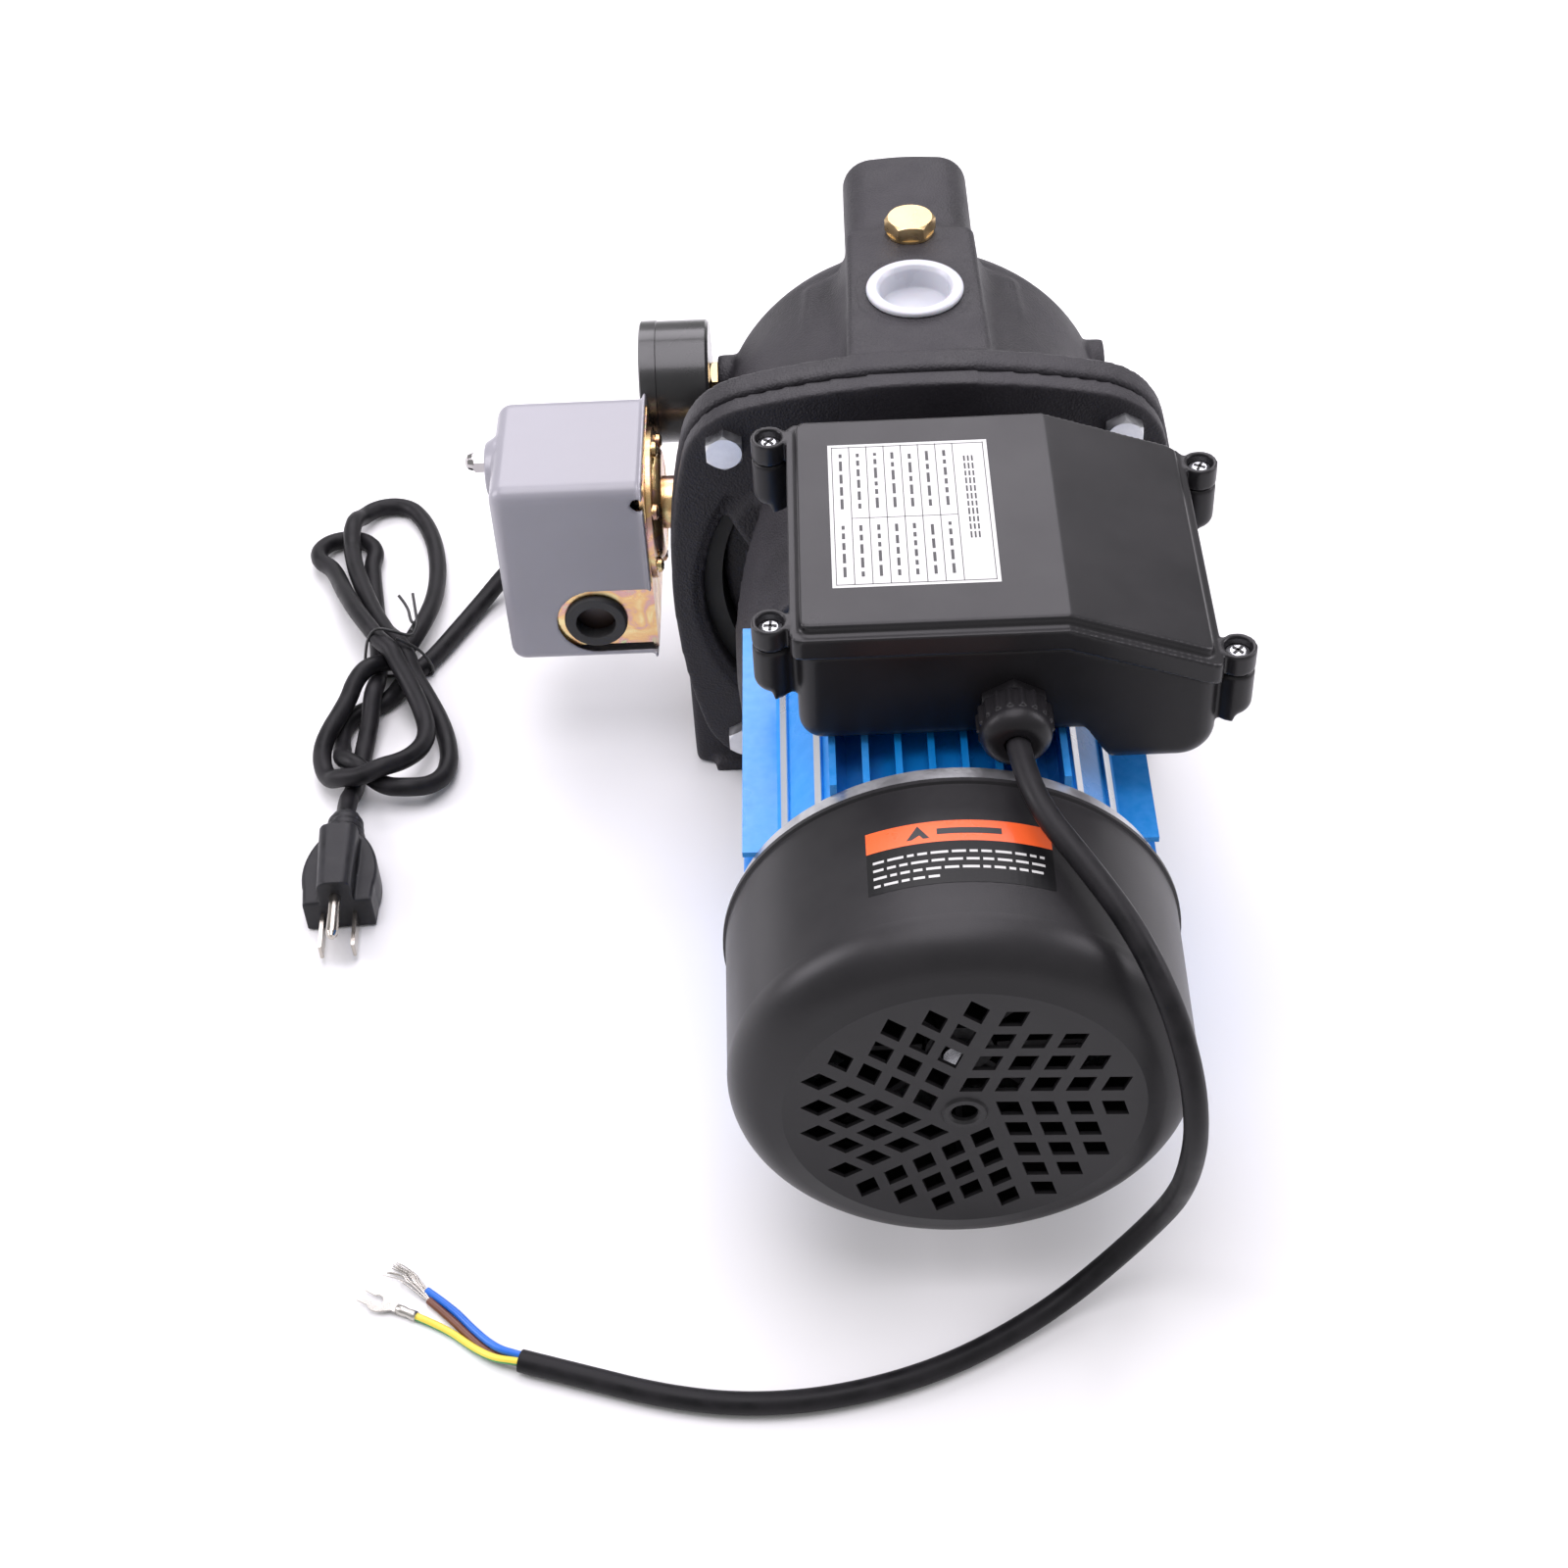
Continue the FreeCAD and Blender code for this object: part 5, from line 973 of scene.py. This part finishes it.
def tick_tree():
    tree, inside, outside = new_group(
        "dial_ticks", "GeometryNodeTree",
        [("Count", "NodeSocketInt", 13), ("Radius", "NodeSocketFloat", 0.019), ("Length", "NodeSocketFloat", 0.003),
         ("Width", "NodeSocketFloat", 0.0005), ("Sweep", "NodeSocketFloat", math.radians(270)),
         ("Centre", "NodeSocketVector", None), ("Material", "NodeSocketMaterial", None)],
        [("Geometry", "NodeSocketGeometry")])
    points = add(tree, "GeometryNodePoints")
    join(tree, inside.outputs["Count"], points.inputs["Count"])
    index = add(tree, "GeometryNodeInputIndex")
    gaps = sum_of(tree, "SUBTRACT", inside.outputs["Count"], 1.0)
    part = sum_of(tree, "DIVIDE", index.outputs[0], gaps)
    angle = sum_of(tree, "ADD", sum_of(tree, "MULTIPLY", part, inside.outputs["Sweep"]), math.radians(-135))
    spot = add(tree, "ShaderNodeCombineXYZ")
    join(tree, sum_of(tree, "MULTIPLY", sum_of(tree, "SINE", angle, 0), inside.outputs["Radius"]), spot.inputs["Y"])
    join(tree, sum_of(tree, "MULTIPLY", sum_of(tree, "COSINE", angle, 0), inside.outputs["Radius"]), spot.inputs["Z"])
    moved = add(tree, "ShaderNodeVectorMath", operation="ADD")
    join(tree, spot.outputs[0], moved.inputs[0])
    join(tree, inside.outputs["Centre"], moved.inputs[1])
    place = add(tree, "GeometryNodeSetPosition")
    join(tree, points.outputs[0], place.inputs["Geometry"])
    join(tree, moved.outputs["Vector"], place.inputs["Position"])
    size = add(tree, "ShaderNodeCombineXYZ")
    size.inputs["X"].default_value = 0.0001
    join(tree, inside.outputs["Width"], size.inputs["Y"])
    join(tree, inside.outputs["Length"], size.inputs["Z"])
    bar = add(tree, "GeometryNodeMeshCube")
    join(tree, size.outputs[0], bar.inputs["Size"])
    turn = add(tree, "ShaderNodeCombineXYZ")
    join(tree, sum_of(tree, "MULTIPLY", angle, -1.0), turn.inputs["X"])
    spots = add(tree, "GeometryNodeInstanceOnPoints")
    join(tree, place.outputs["Geometry"], spots.inputs["Points"])
    join(tree, bar.outputs["Mesh"], spots.inputs["Instance"])
    join(tree, turn.outputs[0], spots.inputs["Rotation"])
    close_tree(tree, spots.outputs["Instances"], inside, outside)
    return tree


TICKS = tick_tree()
for name, count, radius, length, width in (("dial_long_ticks", 7, 18.8, 3.6, 0.7), ("dial_short_ticks", 31, 19.6, 2.0, 0.35)):
    grow(name, TICKS, {"Count": count, "Radius": radius * MM, "Length": length * MM, "Width": width * MM,
                       "Centre": DIAL_CENTRE, "Material": PRINT_INK}, "pump")


def dial_number(value, angle):
    """One number of the scale, set upright on the dial and read from outside."""
    text = bpy.data.curves.new("dial_number", "FONT")
    text.body = str(value)
    text.size = 3.6 * MM
    text.align_x, text.align_y = "CENTER", "CENTER"
    drawn = bpy.data.objects.new("dial_number_" + str(value), text)
    scene.collection.objects.link(drawn)
    mesh = bpy.data.meshes.new_from_object(drawn.evaluated_get(bpy.context.evaluated_depsgraph_get()))
    bpy.data.objects.remove(drawn)
    spot = DIAL_CENTRE + Vector((0, math.sin(angle), math.cos(angle))) * 14.6 * MM
    upright = Matrix(((0, 0, -1), (-1, 0, 0), (0, 1, 0))).to_4x4()
    mesh.transform(Matrix.Translation(spot) @ upright)
    mesh.materials.clear()
    mesh.materials.append(PRINT_INK)
    piece = bpy.data.objects.new("dial_number_" + str(value), mesh)
    scene.collection.objects.link(piece)
    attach(piece, "pump")


for step in range(7):
    dial_number(step * 2, math.radians(135 - 45 * step))
dress(DIAL_WHITE, "gauge_dial")
dress(GAUGE_BLACK, "gauge_case", "gauge_pointer")


def glass_finish():
    material = bpy.data.materials.new("gauge_glass")
    material.use_nodes = True
    tree = material.node_tree
    shader = tree.nodes["Principled BSDF"]
    shader.inputs["Base Color"].default_value = (0.95, 0.98, 1.0, 1)
    shader.inputs["Transmission Weight"].default_value = 0.95
    smears = add(tree, "ShaderNodeGroup", node_tree=GRAIN)
    smears.inputs["Fine scale"].default_value = 300
    dull = add(tree, "ShaderNodeMapRange")
    dull.inputs["To Min"].default_value, dull.inputs["To Max"].default_value = 0.02, 0.09
    join(tree, smears.outputs["Patch"], dull.inputs["Value"])
    join(tree, dull.outputs["Result"], shader.inputs["Roughness"])
    return material


dress(glass_finish(), "gauge_lens")

# %% [markdown]
# The dust cap is milky polyethylene: light goes some way in, so its rim glows against the black iron.

# %% Dust cap
CAP_PLASTIC = finish("milky_cap", (0.5, 0.51, 0.56), (0.55, 0.56, 0.6), (0.24, 0.34), (900, 0.00003), patch=60, dust=0,
                     pits=0.1)
cap_shader = CAP_PLASTIC.node_tree.nodes["Principled BSDF"]
cap_shader.inputs["Subsurface Weight"].default_value = 0.12
cap_shader.inputs["Subsurface Scale"].default_value = 0.002
cap = softened("discharge_cap", "dust_cap_cup", "dust_cap", CAP_PLASTIC, 0.4 * MM, passes=3)

# %% [markdown]
# The inside of the motor and pump is hidden unless a cover is off, but it gets its finishes too:
# stacked steel, enamelled copper, ground steel and ceramic.

# %% Inner finishes
STEEL = finish("machined_steel", (0.45, 0.46, 0.48), (0.56, 0.57, 0.59), (0.18, 0.3), (800, 0.00003), metallic=1.0, dust=0)
LAMINATION = finish("lamination_steel", (0.16, 0.16, 0.17), (0.24, 0.24, 0.25), (0.35, 0.5), (1600, 0.00005), metallic=1.0,
                    dust=0)
COPPER = finish("enamelled_copper", (0.55, 0.2, 0.08), (0.66, 0.28, 0.12), (0.25, 0.35), (1500, 0.00006), metallic=1.0, dust=0)
CERAMIC = finish("seal_ceramic", (0.8, 0.79, 0.75), (0.86, 0.85, 0.82), (0.12, 0.2), (900, 0.00001), dust=0)
CAPACITOR = finish("capacitor_white", (0.78, 0.78, 0.75), (0.84, 0.84, 0.82), (0.3, 0.4), (900, 0.00002), dust=0)
dress(STEEL, "shaft", "bearing_outer_rings", "bearing_inner_rings", "bearing_balls", "diaphragm_pusher")
dress(LAMINATION, "stator_core", "rotor_core")
dress(COPPER, "stator_windings")
dress(CERAMIC, "seal_seat")
dress(SOFT_RUBBER, "seal_head")
dress(CAPACITOR, "capacitor")

# %% [markdown]
# The floor is a plain pale sheet. A large soft light hangs above and behind, two weaker ones fill the
# sides, and a white world lights the shadows.

# %% Floor and light
def floor_piece():
    half = 3.0
    piece = mesh_piece("floor", [(-half, -half, 0), (half, -half, 0), (half, half, 0), (-half, half, 0)], [(0, 1, 2, 3)],
                       bpy.data.materials.new("floor_white"))
    material = piece.data.materials[0]
    material.use_nodes = True
    shader = material.node_tree.nodes["Principled BSDF"]
    shader.inputs["Base Color"].default_value = (0.86, 0.86, 0.86, 1)
    shader.inputs["Roughness"].default_value = 0.9
    return piece


def soft_light(name, place, aim, size, power):
    data = bpy.data.lights.new(name, "AREA")
    data.shape = "RECTANGLE"
    data.size, data.size_y = size
    data.energy = power
    data.color = (1.0, 0.955, 1.03)
    lamp = bpy.data.objects.new(name, data)
    lamp.location = place
    lamp.rotation_euler = (Vector(aim) - Vector(place)).to_track_quat("-Z", "Y").to_euler()
    scene.collection.objects.link(lamp)


floor_piece()
world = bpy.data.worlds.new("studio")
scene.world = world
world.use_nodes = True
world.node_tree.nodes["Background"].inputs["Color"].default_value = (1, 1, 1, 1)
world.node_tree.nodes["Background"].inputs["Strength"].default_value = 0.48
soft_light("overhead", (-0.1, 0.0, 1.7), (0, -0.05, 0.1), (1.5, 1.2), 22)
soft_light("back_sheen", (0, 1.5, 1.5), (0, 0, 0.12), (2.0, 0.9), 22)
soft_light("left_fill", (-1.5, 0.1, 0.9), (0, 0, 0.1), (0.7, 1.0), 14)
soft_light("right_fill", (1.5, 0.1, 0.9), (0, 0, 0.1), (0.7, 1.0), 12)
scene.view_settings.view_transform = "Standard"
